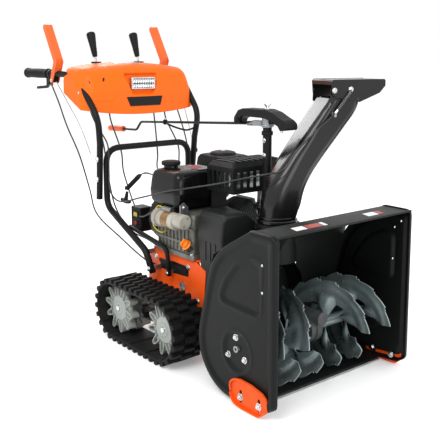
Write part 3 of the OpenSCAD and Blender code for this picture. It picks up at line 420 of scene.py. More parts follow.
def tube(path, r, n=16):
    """Round bar along a path; r may be a list."""
    path = [Vector(p) for p in path]
    radii = r if isinstance(r, list) else [r] * len(path)
    t0 = (path[1] - path[0]).normalized()
    u, _ = frame_of(t0)
    v, f = [], []
    for i, p in enumerate(path):
        t = (path[min(i + 1, len(path) - 1)] - path[max(i - 1, 0)]).normalized()
        u = (u - t * u.dot(t)).normalized()
        w = t.cross(u)
        for k in range(n):
            a = 2 * math.pi * k / n
            v.append(p + (u * math.cos(a) + w * math.sin(a)) * radii[i])
    for i in range(len(path) - 1):
        for k in range(n):
            j = (k + 1) % n
            f.append((i * n + k, i * n + j, (i + 1) * n + j, (i + 1) * n + k))
    f.append(tuple(range(n - 1, -1, -1)))
    f.append(tuple((len(path) - 1) * n + k for k in range(n)))
    return v, f


def grid(rows, closed=False, caps=False):
    """Surface from rows of points."""
    n = len(rows[0])
    v = [p for r in rows for p in r]
    f = []
    for i in range(len(rows) - 1):
        for k in range(n if closed else n - 1):
            j = (k + 1) % n
            f.append((i * n + k, i * n + j, (i + 1) * n + j, (i + 1) * n + k))
    if caps:
        f.append(tuple(range(n - 1, -1, -1)))
        f.append(tuple((len(rows) - 1) * n + k for k in range(n)))
    return v, f


def block(x0, y0, x1, y1, r, n, levels):
    """Rounded upright block from (height, inset) levels."""
    rows = [[(x, y, z) for x, y in rect(x0 + g, y0 + g, x1 - g, y1 - g, r, n)] for z, g in levels]
    return grid(rows, closed=True, caps=True)


def moved(shape, matrix):
    return [matrix @ Vector(v) for v in shape[0]], shape[1]


def mirrored(shape):
    return [(-v[0], v[1], v[2]) for v in map(tuple, shape[0])], [tuple(reversed(f)) for f in shape[1]]


def step(t, a, b):
    """Smooth step from 0 at a to 1 at b."""
    t = min(max((t - a) / (b - a), 0), 1)
    return t * t * (3 - 2 * t)


def distance(p, outline):
    """Signed distance to a closed outline, negative inside."""
    best, inside = 1e9, False
    n = len(outline)
    for i in range(n):
        ax, ay = outline[i]
        bx, by = outline[(i + 1) % n]
        dx, dy = bx - ax, by - ay
        t = min(max(((p[0] - ax) * dx + (p[1] - ay) * dy) / (dx * dx + dy * dy + 1e-12), 0), 1)
        best = min(best, math.hypot(p[0] - ax - t * dx, p[1] - ay - t * dy))
        if (ay > p[1]) != (by > p[1]) and p[0] < (bx - ax) * (p[1] - ay) / (by - ay) + ax:
            inside = not inside
    return -best if inside else best


SIDES = ((1, "right"), (-1, "left"))


def side(shape, s):
    """Shapes are drawn on the right-hand side, at negative x; s = -1 mirrors them."""
    return shape if s == 1 else mirrored(shape)


# ---------------------------------------------------------------- auger housing

ARC_Y, ARC_Z, ARC_R = 195, 165, 155


def side_outline(t):
    arc = [(ARC_Y + (ARC_R + t) * math.cos(math.radians(a)), ARC_Z + (ARC_R + t) * math.sin(math.radians(a)))
           for a in [15 - 105 * k / 14 for k in range(15)]]
    return ([(-t, 545 + t), (104 + 0.27 * t, 545 + t), (281 + 0.75 * t, 443 + 0.9 * t)] + arc
            + [(150, 10 - t), (30, 22 - t), (-t, 40)])


def soft_outline(t):
    """Side outline with the shoulder drawn as one wide curve."""
    pts = side_outline(t)
    a, c = Vector(pts[2]) + Vector((-0.866, 0.5)) * 86, Vector(pts[2]) + Vector((0.26, -0.966)) * 86
    bend = [tuple(a * (1 - k / 8) ** 2 + Vector(pts[2]) * 2 * k / 8 * (1 - k / 8) + c * (k / 8) ** 2)
            for k in range(9)]
    return pts[:2] + bend + pts[3:]


rim = rounded(soft_outline(3), 22, 5)
panel = rounded([(64, 300), (64, 456), (104, 462), (166, 430), (216, 374), (252, 306)], 24, 6)
centre = Vector((130, 262))


def pressed(y, z):
    """Height of the pressed side plate outside its flat, in millimetres."""
    edge = -distance((y, z), rim)
    h = 3.0 - 7.0 * step(edge, 20, 33)
    d = distance((y, z), panel)
    h += -6.5 * step(-d, -4, 9) + 1.6 * math.exp(-((d - 7) / 6) ** 2)
    c = math.hypot(y - 166, z - 162)
    h += -6.0 * (1 - step(c, 50, 65)) + 1.6 * math.exp(-((c - 67) / 6) ** 2)
    roll = 11
    if edge < roll:
        h -= roll - math.sqrt(max(roll * roll - (roll - max(edge, 0)) ** 2, 0))
    return min(h, 3.0)


def side_plate():
    loops = 54
    dense = []
    for i in range(len(rim)):
        a, b = Vector(rim[i]), Vector(rim[(i + 1) % len(rim)])
        n = max(1, int((b - a).length / 9))
        dense += [a + (b - a) * k / n for k in range(n)]
    rows = [[(x, q.x, q.y) for q in dense] for x in (-291, -293)]
    for i in range(loops + 1):
        t = (i / loops) ** 1.15 if i < loops else 0.995
        row = [q + (centre - q) * t for q in dense]
        rows.append([(-SHELL_X - pressed(*q), *q) for q in row])
    v, f = grid(rows, closed=True)
    n = len(dense)
    f.append(tuple((len(rows) - 1) * n + k for k in range(n)))
    return v, f


plate = side_plate()
for s, name in SIDES:
    p = Piece()
    p.add(plate, POWDER, s)
    p.build(f"housing_side_{name}_pressing", f"housing_side_{name}", replaces=True, solid=2.5)
    q = Piece()
    q.add(ring_band((-291, AUGER, AUGER), INBOARD, 0, 11, 10.2, 30), POWDER_IN, s)
    q.build(f"auger_bearing_{name}", f"housing_side_{name}", bevel=0.5)

cad("auger_housing", POWDER_IN, 1.2)
throat = Piece()
curve = [math.radians(a) for a in range(168, 373, 12)]
throat.add(grid([[(28 + 67 * math.cos(a), 345 + 67 * math.sin(a), z) for a in curve]
                 for z in (352, 400, 440, 482)]), POWDER_IN)
throat.build("chute_throat", "auger_housing", solid=2.5)
cad("scraper_bar", STEEL, 0.8)
cad("impeller_drum", POWDER_IN, 0.8)

# Folded front lip and two plain stripes on the top of the housing.
lip = Piece()
lip.add(tube([(-301, 2.5, 542), (301, 2.5, 542)], 3.6, 12), POWDER)
lip.build("housing_front_lip", "auger_housing")
stripes = Piece()
for x0, x1, mat in ((-196, -150, PALE), (-146, -84, RED), (-80, -66, PALE), (120, 170, PALE),
                    (174, 196, RED)):
    stripes.add(prism([(x0, 26), (x1, 26), (x1 + 10, 62), (x0 + 10, 62)], "xy", 544.9, 545.35), mat)
stripes.build("housing_stripes", "auger_housing")

# ---------------------------------------------------------------- auger


def blade(x0, x1, a0, a1):
    """Pressed blade: a wide helical band with a saw-tooth edge, drawn in to the sleeve at its two arms."""
    rows = []
    steps, across = 144, 18
    for i in range(steps + 1):
        t = i / steps
        deg = a0 + (a1 - a0) * t
        a = math.radians(deg)
        x = x0 + (x1 - x0) * t
        ends = abs(2 * t - 1)
        saw = (t * 6.0) % 1.0
        tooth = 0 if saw < 0.86 else 12 * (1 - (saw - 0.86) / 0.14)
        outer = 150 - tooth - 11 * (1 - saw / 0.86) * (saw < 0.86) - 26 * max(ends - 0.95, 0) / 0.05
        arms = max(math.exp(-((deg - f) / 20) ** 4) for f in (a0 + (a1 - a0) * 0.36, a0 + (a1 - a0) * 0.86))
        inner = (66 + 26 * ends ** 4) * (1 - arms) + 17 * arms
        row = []
        for k in range(across + 1):
            u = k / across
            r = inner + (outer - inner) * u
            bead = 8 * math.exp(-((r - 112) / 12) ** 2)
            rib = 20 * arms ** 2 * (1 - step(r, 56, 122)) * math.exp(-((r - 62) / 50) ** 2)
            lean = 9 * ((r - 100) / 50)
            row.append((x + bead + rib + lean, AUGER + math.cos(a) * r, AUGER + math.sin(a) * r))
        rows.append(row)
    return grid(rows)


def flights(phase, s, name):
    plates = Piece()
    core = Piece()
    core.add(lathe((-262, AUGER, AUGER), INBOARD, [(0, 14.2), (0, 18), (2, 19), (224, 19), (226, 18),
                                                   (226, 14.2)], 32), SLATE, s)
    for half in (0, 180):
        for near, far in ((-52, -152), (-150, -256)):
            plates.add(blade(near, far, 32 + phase + half, 190 + phase + half), SLATE, s)
    # shear bolt across the sleeve
    core.add(hexagon((-52, 170, 189), UP, 0, 6, 7), CHROME, s)
    core.add(hexagon((-52, 170, 151), DOWN, 0, 6, 7), CHROME, s)
    plates.build(f"auger_flight_{name}_ribbon", f"auger_flight_{name}", "auger", replaces=True, solid=4.4,
                 sub=1)
    core.build(f"auger_flight_{name}_sleeve", f"auger_flight_{name}", "auger", bevel=0.5)


flights(-6, 1, "right")
flights(0, -1, "left")
cad("auger_shaft", STEEL, 0.5)
cad("auger_gearbox", IRON, 3.0)
case = Piece()
for k in range(6):
    a = math.radians(60 * k + 30)
    case.add(hexagon((24, AUGER + 41 * math.cos(a), AUGER + 41 * math.sin(a)), INBOARD, 0, 5, 5), CHROME)
    case.add(hexagon((-24, AUGER + 41 * math.cos(a), AUGER + 41 * math.sin(a)), OUTBOARD, 0, 5, 5), CHROME)
case.add(ring_band((0, AUGER, AUGER), INBOARD, -2.5, 2.5, 47, 52, 1, 48), IRON)
case.build("gear_case_bolts", "auger_gearbox", bevel=0.3)
cad("impeller", POWDER_IN, 0.8)
cad("auger_pulley", IRON, 0.8)
cad("crankshaft", STEEL, 0.6)
cad("drive_belt", RUBBER, 0.8)
cad("friction_wheel", STEEL, 0.6)

# ---------------------------------------------------------------- skid shoes and bolts

for s, name in SIDES:
    shoe = Piece()
    outline = rounded([(22, 26), (46, 4), (74, 0.3), (132, 0.3), (166, 7), (182, 32), (182, 66), (168, 82),
                       (140, 88), (92, 87), (44, 78), (24, 66)], 12, 5)
    # flat plate; its two slots are cut by a boolean below
    shoe.add(prism(outline, "yz", -309.9, -305.4), PAINT, s)
    o = shoe.build(f"skid_shoe_{name}_plate", f"skid_shoe_{name}", f"skid_{name}", replaces=True, bevel=0.9)
    cutter = Piece()
    for y, z0, z1 in ((138, 20, 50), (56, 20, 50)):
        pts = [(y + 5.6 * math.cos(t), z1 + 5.6 * math.sin(t)) for t in [math.pi * k / 10 for k in range(11)]]
        pts += [(y + 5.6 * math.cos(t), z0 + 5.6 * math.sin(t))
                for t in [math.pi + math.pi * k / 10 for k in range(11)]]
        cutter.add(prism(pts, "yz", -330, -295), PAINT, s)
    c = bpy.data.objects.new("cutter", cutter.mesh("cutter"))
    bpy.context.collection.objects.link(c)
    mod = o.modifiers.new("slots", "BOOLEAN")
    mod.object = c
    mod.operation = "DIFFERENCE"
    mod.solver = "EXACT"
    bpy.context.view_layer.update()
    with bpy.context.temp_override(object=o, active_object=o, selected_objects=[o]):
        o.modifiers.move(len(o.modifiers) - 1, 0)
        bpy.ops.object.modifier_apply(modifier="slots")
    bpy.data.objects.remove(c)
    runner = Piece()
    rows = []
    for y, z in spline([(24, 27), (47, 5), (74, 1.7), (104, 1.4), (132, 1.7), (165, 9), (180, 34)], 4):
        rows.append([(x, y, z + g) for x, g in ((-309.6, -0.9), (-318.5, -0.2), (-320.5, 2.4), (-318.5, 4.4),
                                                (-309.6, 4.6))])
    runner.add(grid(rows, closed=True, caps=True), PAINT, s)
    fold = spline([(-311, 25, 64), (-315, 45, 76.5), (-316, 92, 85.5), (-316, 140, 86.5), (-316, 166, 80.5),
                   (-316, 180, 65), (-314, 180.4, 40)], 6)
    runner.add(tube(fold, 3.0, 10), PAINT, s)
    runner.build(f"skid_shoe_{name}_sole", f"skid_shoe_{name}", f"skid_{name}", bevel=1.0)

hardware = Piece()
for s, name in SIDES:
    for y, z in ((178, 204), (213, 140), (137, 144)):
        x = -304.5 - pressed(y, z)
        hardware.add(hexagon((x, y, z), OUTBOARD, 0, 6.5, 8), CHROME, s)
        hardware.add(cyl((x, y, z), OUTBOARD, 6, 9.5, 4, 0.8, 16), CHROME, s)
    for y, z in ((56, 455), (54, 375)):
        x = -304.5 - pressed(y, z)
        hardware.add(lathe((x, y, z), OUTBOARD, [(0, 4.5), (1.2, 4.3), (2.4, 3), (2.8, 0.4)], 16), CHROME, s)
    for y, z in ((138, 33), (56, 33)):
        hardware.add(hexagon((-310.1, y, z), OUTBOARD, 0, 6.5, 8.5), CHROME, s)
        hardware.add(cyl((-310.1, y, z), OUTBOARD, 6, 10, 4.2, 0.8, 16), CHROME, s)
        hardware.add(hexagon((-289, y, z + 4), INBOARD, -2, 4, 8.5), CHROME, s)
    for y, z in ((600, 300), (800, 300), (545, 190)):
        hardware.add(hexagon((-160, y, z), OUTBOARD, 0, 5, 8), CHROME, s)
    for y, z, x in ((1090, 560, 241.2), (1084, 640, 242.4)):
        hardware.add(hexagon((-x, y, z), OUTBOARD, 0, 5, 8), CHROME, s)
    # inside of the housing
    for y, z in ((60, 480), (64, 372), (34, 505)):
        hardware.add(lathe((-292, y, z), INBOARD, [(0, 5.5), (1.6, 5.2), (3.2, 3.6), (3.8, 0.4)], 16), CHROME,
                     s)
hardware.build("housing_fasteners", "fasteners", replaces=True, bevel=0.35)

# ---------------------------------------------------------------- chute

YAW = math.radians(75)
DIR = Vector((math.sin(YAW), -math.cos(YAW), 0))
ACROSS = Vector((math.cos(YAW), math.sin(YAW), 0))
CHUTE = Vector((28, 345, 0))


def throw(s, w, z):
    """Point in the chute's own plane: s along the throw, w across it."""
    return CHUTE + DIR * s + ACROSS * w + Vector((0, 0, z))


def thrown(shape):
    """A shape drawn in the chute's own plane, put in place."""
    return [throw(*v) for v in shape[0]], shape[1]


# Height of each section of the chute, with its back, its lip and its corner radius.
SECTIONS = [(490, -60, 30, 56), (520, -60, 42, 56), (560, -57, 50, 55), (610, -42, 64, 53),
            (660, -10, 92, 46), (710, 26, 130, 38), (760, 66, 172, 32), (810, 104, 214, 28),
            (860, 142, 254, 24), (900, 170, 268, 22)]


def section_at(z):
    """Back, lip and corner radius of the chute channel at height z."""
    pts = SECTIONS
    for i in range(len(pts) - 1):
        if pts[i][0] <= z <= pts[i + 1][0]:
            p0, p1, p2, p3 = pts[max(i - 1, 0)], pts[i], pts[i + 1], pts[min(i + 2, len(pts) - 1)]
            t = (z - p1[0]) / (p2[0] - p1[0])
            return [catmull(p0[k], p1[k], p2[k], p3[k], t) for k in (1, 2, 3)]
    return pts[-1][1:]


def chute_rows():
    rows = []
    half = 59.6
    for i in range(53):
        z = 490 + 410 * i / 52
        back, lip, rc = section_at(z)
        flange = 7 * step(z, 520, 560)
        pts = [(lip + 1, -half - flange), (lip, -half - flange * 0.4), (lip - 2.5, -half)]
        pts += [(lip - (lip - back - rc) * t, -half) for t in (0.25, 0.5, 0.75)]
        pts += [(back + rc - rc * math.sin(a), -half + rc - rc * math.cos(a))
                for a in [math.pi / 2 * k / 10 for k in range(11)]]
        left = [(q, -w) for q, w in reversed(pts)]
        rows.append([throw(q, w, z) for q, w in pts + left])
    return rows


channel = Piece()
channel.add(grid(chute_rows()), GLOSS)
channel.build("chute_channel", "chute_shell", "chute", replaces=True, solid=-2.6)
collar = Piece()
collar.add(ring_band((28, 345, 484), UP, 0, 14, 58, 69, 3, 64), GLOSS)
collar.add(ring_band((28, 345, 498), UP, 0, 10, 58, 64, 2, 64), GLOSS)
for w in (-58.4, 55.6):
    ear = rounded([(166, 930), (186, 930), (186, 918), (200, 885), (164, 885)], 6, 3)
    collar.add(thrown(prism(ear, "xz", w, w + 2.8)), GLOSS)
collar.add(thrown(box((168, -64, 842), (186, -60, 854))), STEEL)
collar.add(tube([throw(177, -70, 838), throw(177, -66, 850)], 4.2, 12), STEEL)
for w, d in ((-64.8, -1), (64.8, 1)):
    collar.add(hexagon(throw(176, w, 927), ACROSS * d, 0, 5, 7), CHROME)
collar.build("chute_collar", "chute_shell", "chute", bevel=0.6)

cad("chute_ring", BLACK, 0.5)
cad("chute_pinion", STEEL, 0.4)


def hood():
    """Side profile of the deflector hood, drawn from the hinge round to the lip."""
    return rounded([(168, 912), (164, 958), (172, 963), (376, 963), (380, 958), (380, 940), (357, 916),
                    (276, 886), (180, 904)], 8, 4)


shell = Piece()
for w in (-64.3, 61.6):
    shell.add(thrown(prism(hood(), "xz", w, w + 2.7)), GLOSS)
top = []
for q, z in ((165, 945), (166, 958), (171, 961.6), (250, 962), (330, 962), (376, 961.6), (379, 957)):
    top.append([throw(q, w, z + 0.8 * math.cos(w / 64.3 * math.pi / 2))
                for w in [-64.2 + 128.4 * k / 12 for k in range(13)]])
roof = Piece()
roof.add(grid(top), GLOSS)
roof.build("deflector_roof", "deflector", "deflector", solid=2.5, bevel=0.8)
shell.add(hexagon(throw(240, -64.4, 930), -ACROSS, 0, 5, 7), CHROME)
shell.add(cyl(throw(240, -64.4, 930), -ACROSS, 4, 9, 4, 0.6, 16), CHROME)
for w, d in ((-64.4, -1), (64.4, 1)):
    shell.add(ring_band(throw(176, w - d * 0.2, 927), ACROSS * d, 0, 1.6, 4.4, 9.5, 0.4, 24), CHROME)
shell.build("deflector_hood", "deflector", "deflector", replaces=True, bevel=0.7)

# ---------------------------------------------------------------- chute post and head

# The post stands 95 mm from the chute's axis.
PX, PY = 28 + 95 * math.sin(math.radians(20)), 345 + 95 * math.cos(math.radians(20))
post = Piece()
post.add(lathe((PX, PY, 512), UP, [(0, 15.4), (1, 15.6), (282, 15.6), (284, 15)], 36), BLACK)
for z in (700, 752):
    post.add(hexagon((PX - 15, PY, z), OUTBOARD, 0, 6, 6.5), CHROME)
post.add(ring_band((PX, PY, 770), UP, 0, 14, 15, 20, 1.5), BLACK)
post.build("chute_post_tube", "chute_post", replaces=True, bevel=0.3)

head = Piece()
arch = rounded([(584, 800), (584, 824), (562, 851), (538, 858), (424, 860), (388, 852), (352, 836),
                (330, 828), (314, 816), (312, 796), (346, 792), (356, 806), (392, 822), (430, 830),
                (540, 830), (566, 818), (574, 800)], 9, 4)
head.add(prism(arch, "yz", PX - 27, PX + 27), BLACK)
head.build("chute_head_cover", "chute_head", replaces=True, bevel=6.0, segments=4, angle=40)
gear = Piece()
gear.add(cyl((PX, PY, 796), UP, 0, 34, 19, 2, 32), STEEL)
gear.add(ring_band((PX, PY, 800), UP, 0, 8, 18, 24, 1.5, 32), STEEL)
gear.add(box((PX - 12, PY + 18, 800), (PX + 12, 500, 818)), STEEL)
gear.add(cyl((PX, PY, 858), UP, 0, 4, 9, 1, 24), CHROME)
gear.add(cyl((PX, PY, 860), UP, 0, 14, 4, 0.8, 16), CHROME)
gear.add(tube(spline([(PX - 15, PY, 878), (PX - 9, PY, 873), (PX - 3, PY, 866)], 5), 2.4, 10), CHROME)
gear.add(tube(spline([(PX + 15, PY, 878), (PX + 9, PY, 873), (PX + 3, PY, 866)], 5), 2.4, 10), CHROME)
gear.add(cyl((PX - 30, 400, 812), INBOARD, -2, 62, 5, 1, 16), STEEL)
gear.add(tube([(PX - 10, 352, 806), (PX - 10, 352, 784)], 5, 12), CHROME)
gear.build("chute_head_drive", "chute_head", bevel=0.8)

# ---------------------------------------------------------------- console


def top_z(x):
    q = abs(x)
    return 1014 - 24 * (q / 271) ** 2 - 24 * step(q, 232, 271)


def bottom_z(x):
    return 806 + 23 * (x / 271) ** 2


def front_y(x):
    q = abs(x)
    return 1099 + 10 * (q / 271) ** 2 + 36 * step(q, 205, 271) * ((q - 205) / 66 if q > 205 else 0)


def rear_y(x):
    q = abs(x)
    return 1352 - max(0, q - 215) * 60 / 56


def console_profile(x):
    """Bottom of the front, over the top and down the back, with soft corners."""
    zt, zb, yf, yr = top_z(x), bottom_z(x), front_y(x), rear_y(x)
    pts = [(yf, zb), (yf + 14, zt - 84), (yf + 44, zt - 27), (yf + 84, zt - 8),
           (1290 - (1352 - yr) * 0.5, zt), (yr, zt - 9), (yr, zt - 74)]
    soft = rounded_open(pts, 22, 5)
    return resampled(soft, 96)


def rounded_open(pts, r, n):
    out = [pts[0]]
    for i in range(1, len(pts) - 1):
        p0, p1, p2 = Vector(pts[i - 1]), Vector(pts[i]), Vector(pts[i + 1])
        a, b = p0 - p1, p2 - p1
        cut = min(r, a.length * 0.45, b.length * 0.45)
        q0, q1 = p1 + a.normalized() * cut, p1 + b.normalized() * cut
        for k in range(n + 1):
            t = k / n
            out.append(tuple(q0 * (1 - t) ** 2 + p1 * 2 * t * (1 - t) + q1 * t * t))
    out.append(pts[-1])
    return out


def resampled(pts, n):
    pts = [Vector(p) for p in pts]
    lens = [0]
    for i in range(1, len(pts)):
        lens.append(lens[-1] + (pts[i] - pts[i - 1]).length)
    out, j = [], 0
    for k in range(n + 1):
        d = lens[-1] * k / n
        while j < len(pts) - 2 and lens[j + 1] < d:
            j += 1
        t = (d - lens[j]) / max(lens[j + 1] - lens[j], 1e-9)
        out.append(pts[j].lerp(pts[j + 1], min(t, 1)))
    return out


def console_dent(x, y, z):
    """How far the front face is pushed back at a point: lamp recess and the stepped line."""
    d = 0.0
    if y < 1180:
        w = 74 - (962 - z) * 0.34
        side_in = w - abs(x)
        d += 20 * step(side_in, -10, 4) * step(968 - z, -4, 8) * step(z - 886, -8, 6)
        # stepped line at the operator's right of the face
        line = [(-222, 826), (-222, 868), (-150, 868), (-132, 884), (-132, 930), (-104, 934)]
        best = min(seg_distance((x, z), line[i], line[i + 1]) for i in range(len(line) - 1))
        d -= 2.2 * math.exp(-(best / 4.0) ** 2)
    return d


def seg_distance(p, a, b):
    dx, dy = b[0] - a[0], b[1] - a[1]
    t = min(max(((p[0] - a[0]) * dx + (p[1] - a[1]) * dy) / (dx * dx + dy * dy), 0), 1)
    return math.hypot(p[0] - a[0] - t * dx, p[1] - a[1] - t * dy)


def console_rows():
    xs = [-271, -270.4, -268.6, -265.5, -261, -256] + [-250 + 4.0 * k for k in range(126)] + [256, 261, 265.5,
            268.6, 270.4, 271]
    rows = []
    for x in xs:
        q = abs(x)
        shrink = 15 * (1 - math.sqrt(max(1 - ((q - 256) / 15) ** 2, 0))) if q > 256 else 0
        row = []
        prof = console_profile(x)
        for y, z in prof:
            low = step(z, bottom_z(x), bottom_z(x) + 30)
            if shrink:
                cy, cz = 1220, 880
                y += (cy - y) * shrink / 160
                z += (cz - z) * shrink / 120 * low
            y += console_dent(x, y, z)
            row.append((x, y, z))
        rows.append(row)
    return rows


rows = console_rows()
dash = Piece()
dash.add(grid(rows), ORANGE)
for end in (0, -1):
    n = len(rows[end])
    dash.add((rows[end], [(i, i + 1, n - 2 - i, n - 1 - i) for i in range(n // 2 - 1)]), ORANGE)
dash.build("console_shell", "dash_shell", replaces=True, solid=3.0, weld=True)

# badge, lamp, label and lever gates
trim = Piece()
badge = [(-86 + 172 * i / 10, 876) for i in range(11)] + [(72 - 144 * i / 8, 839) for i in range(9)]
v, f = prism(badge, "xz", 0, 2.2)
trim.add(([(x, front_y(x) + 14 * (z - bottom_z(x)) / (top_z(x) - 84 - bottom_z(x)) - 2.4 + y, z)
           for x, y, z in v], f), BLACK)
decal = rounded([(-236, 946), (-170, 954), (-176, 940), (-236, 932)], 2, 3)
v, f = prism(decal, "xz", 0, 0.8)
trim.add(([(x, front_y(x) + 14 + 30 * (z - (top_z(x) - 84)) / 57 - 1.0 + y, z) for x, y, z in v], f), BLACK)
trim.build("console_badge", "dash_shell", bevel=0.4)
for s, name in SIDES:
    gate = Piece()
    x = -104 * s
    gate.add(prism(rect(x - 9, 1281, x + 9, 1344, 8, 5), "xy", 1006.2, 1014.6), GRIP)
    gate.build(f"lever_gate_{name}", "dash_shell", bevel=1.0)
    screws = Piece()
    for y, z in ((1190, 858), (1168, 896)):
        screws.add(lathe((-268, y, z), OUTBOARD, [(0, 6), (1.4, 5.6), (2.6, 4), (2.9, 0.4)], 16), CHROME, s)
    screws.build(f"console_screws_{name}", "dash_shell")
label = Piece()
pts = []
for i in range(9):
    y = 1226 + 74 * i / 8
    pts.append([(x, y, top_z(x) + 0.6 - 8 * (1 - step(y, 1180, 1290)) - 0.2)
                for x in [-62 + 124 * k / 8 for k in range(9)]])
label.add(grid(pts), PLATE)
label.build("console_label", "dash_plate", replaces=True, solid=1.2)

lamp = Piece()
lamp.add(box((-56, 1122, 906), (56, 1150, 952)), CHROME)
lamp.build("headlight_case", "headlight", replaces=True, bevel=2.5, segments=3)
bezel = Piece()
outline = rect(-57, 905, 57, 953, 5, 4)
inner = rect(-52, 910, 52, 948, 4, 4)
ring = [[(x, 1123, z) for x, z in outline], [(x, 1114.5, z) for x, z in outline],
        [(x, 1113.5, z) for x, z in inner], [(x, 1122, z) for x, z in inner]]
bezel.add(grid(ring, closed=True), CHROME)
for r in range(2):
    for c in range(9):
        cx, cz = -46 + 11.5 * c, 919.5 + 19 * r
        tip = (cx, 1121, cz)
        q = [(cx - 4.6, 1116, cz - 8), (cx + 4.6, 1116, cz - 8), (cx + 4.6, 1116, cz + 8),
             (cx - 4.6, 1116, cz + 8)]
        bezel.add((q + [tip], [(0, 1, 4), (1, 2, 4), (2, 3, 4), (3, 0, 4)]), CHROME)
bezel.add(box((-52, 1121.4, 909), (52, 1122.6, 949)), BLACK)
bezel.build("headlight_reflector", "headlight")

# ---------------------------------------------------------------- handles, grips, levers

def cap_round(c, r, turn):
    """Half circle of points about c."""
    return [tuple(c + r * Vector((math.cos(turn + math.pi * k / 10), math.sin(turn + math.pi * k / 10))))
            for k in range(11)]


def arm_outline(a, b, c, r):
    """Outline of a bent bar of half width r from a over b to c."""
    u, w = (b - a).normalized(), (c - b).normalized()
    n, m = Vector((-u.y, u.x)), Vector((-w.y, w.x))
    mitre = (n + m) / (1 + n.dot(m))
    return (cap_round(a, r, math.atan2(n.y, n.x)) + [tuple(b - r * mitre)]
            + cap_round(c, r, math.atan2(m.y, m.x) + math.pi) + [tuple(b + r * mitre)])


tubes = Piece()
low = bends([(-200, 766, 250), (-200, 812, 326), (-200, 1084, 452), (-200, 1084, 680), (200, 1084, 680),
             (200, 1084, 452), (200, 812, 326), (200, 766, 250)], 62, 8)
tubes.add(tube(low, 12.5, 20), POWDER)
for s, name in SIDES:
    tubes.add(cyl((-160, 774, 265), OUTBOARD, 0, 30, 9, 1), STEEL, s)
    tubes.add(cyl((-160, 815, 318), OUTBOARD, 0, 30, 9, 1), STEEL, s)
    tubes.add(tube(bends([(-179, 950, 388), (-179, 705, 352), (-179, 690, 252)], 40, 8), 8.5, 16), POWDER, s)
    tubes.add(cyl((-160, 692, 268), OUTBOARD, 0, 16, 7, 1), STEEL, s)
    tubes.add(hexagon((-212.4, 774, 265), OUTBOARD, 0, 5, 7), CHROME, s)
    tubes.add(hexagon((-188, 692, 262), OUTBOARD, 0, 4, 6), CHROME, s)
tubes.build("lower_handle_tube", "handle_lower", replaces=True)
upper = Piece()
for s, name in SIDES:
    path = bends([(-226, 1098, 480), (-230, 1078, 700), (-242, 1066, 800), (-250, 1190, 935),
                  (-254, 1290, 965), (-262, 1360, 965), (-262, 1624, 965)], 110, 10)
    upper.add(tube(path, 12.5, 20), POWDER, s)
    for y, z, x in ((1090, 560, 226), (1084, 640, 228)):
        upper.add(ring_band((-x - 13, y, z), INBOARD, -2, 1, 5, 12, 0.6, 24), STEEL, s)
upper.add(tube([(-246, 1294, 955), (246, 1294, 955)], 5, 14), STEEL)
upper.build("upper_handle_tubes", "handle_upper", replaces=True)

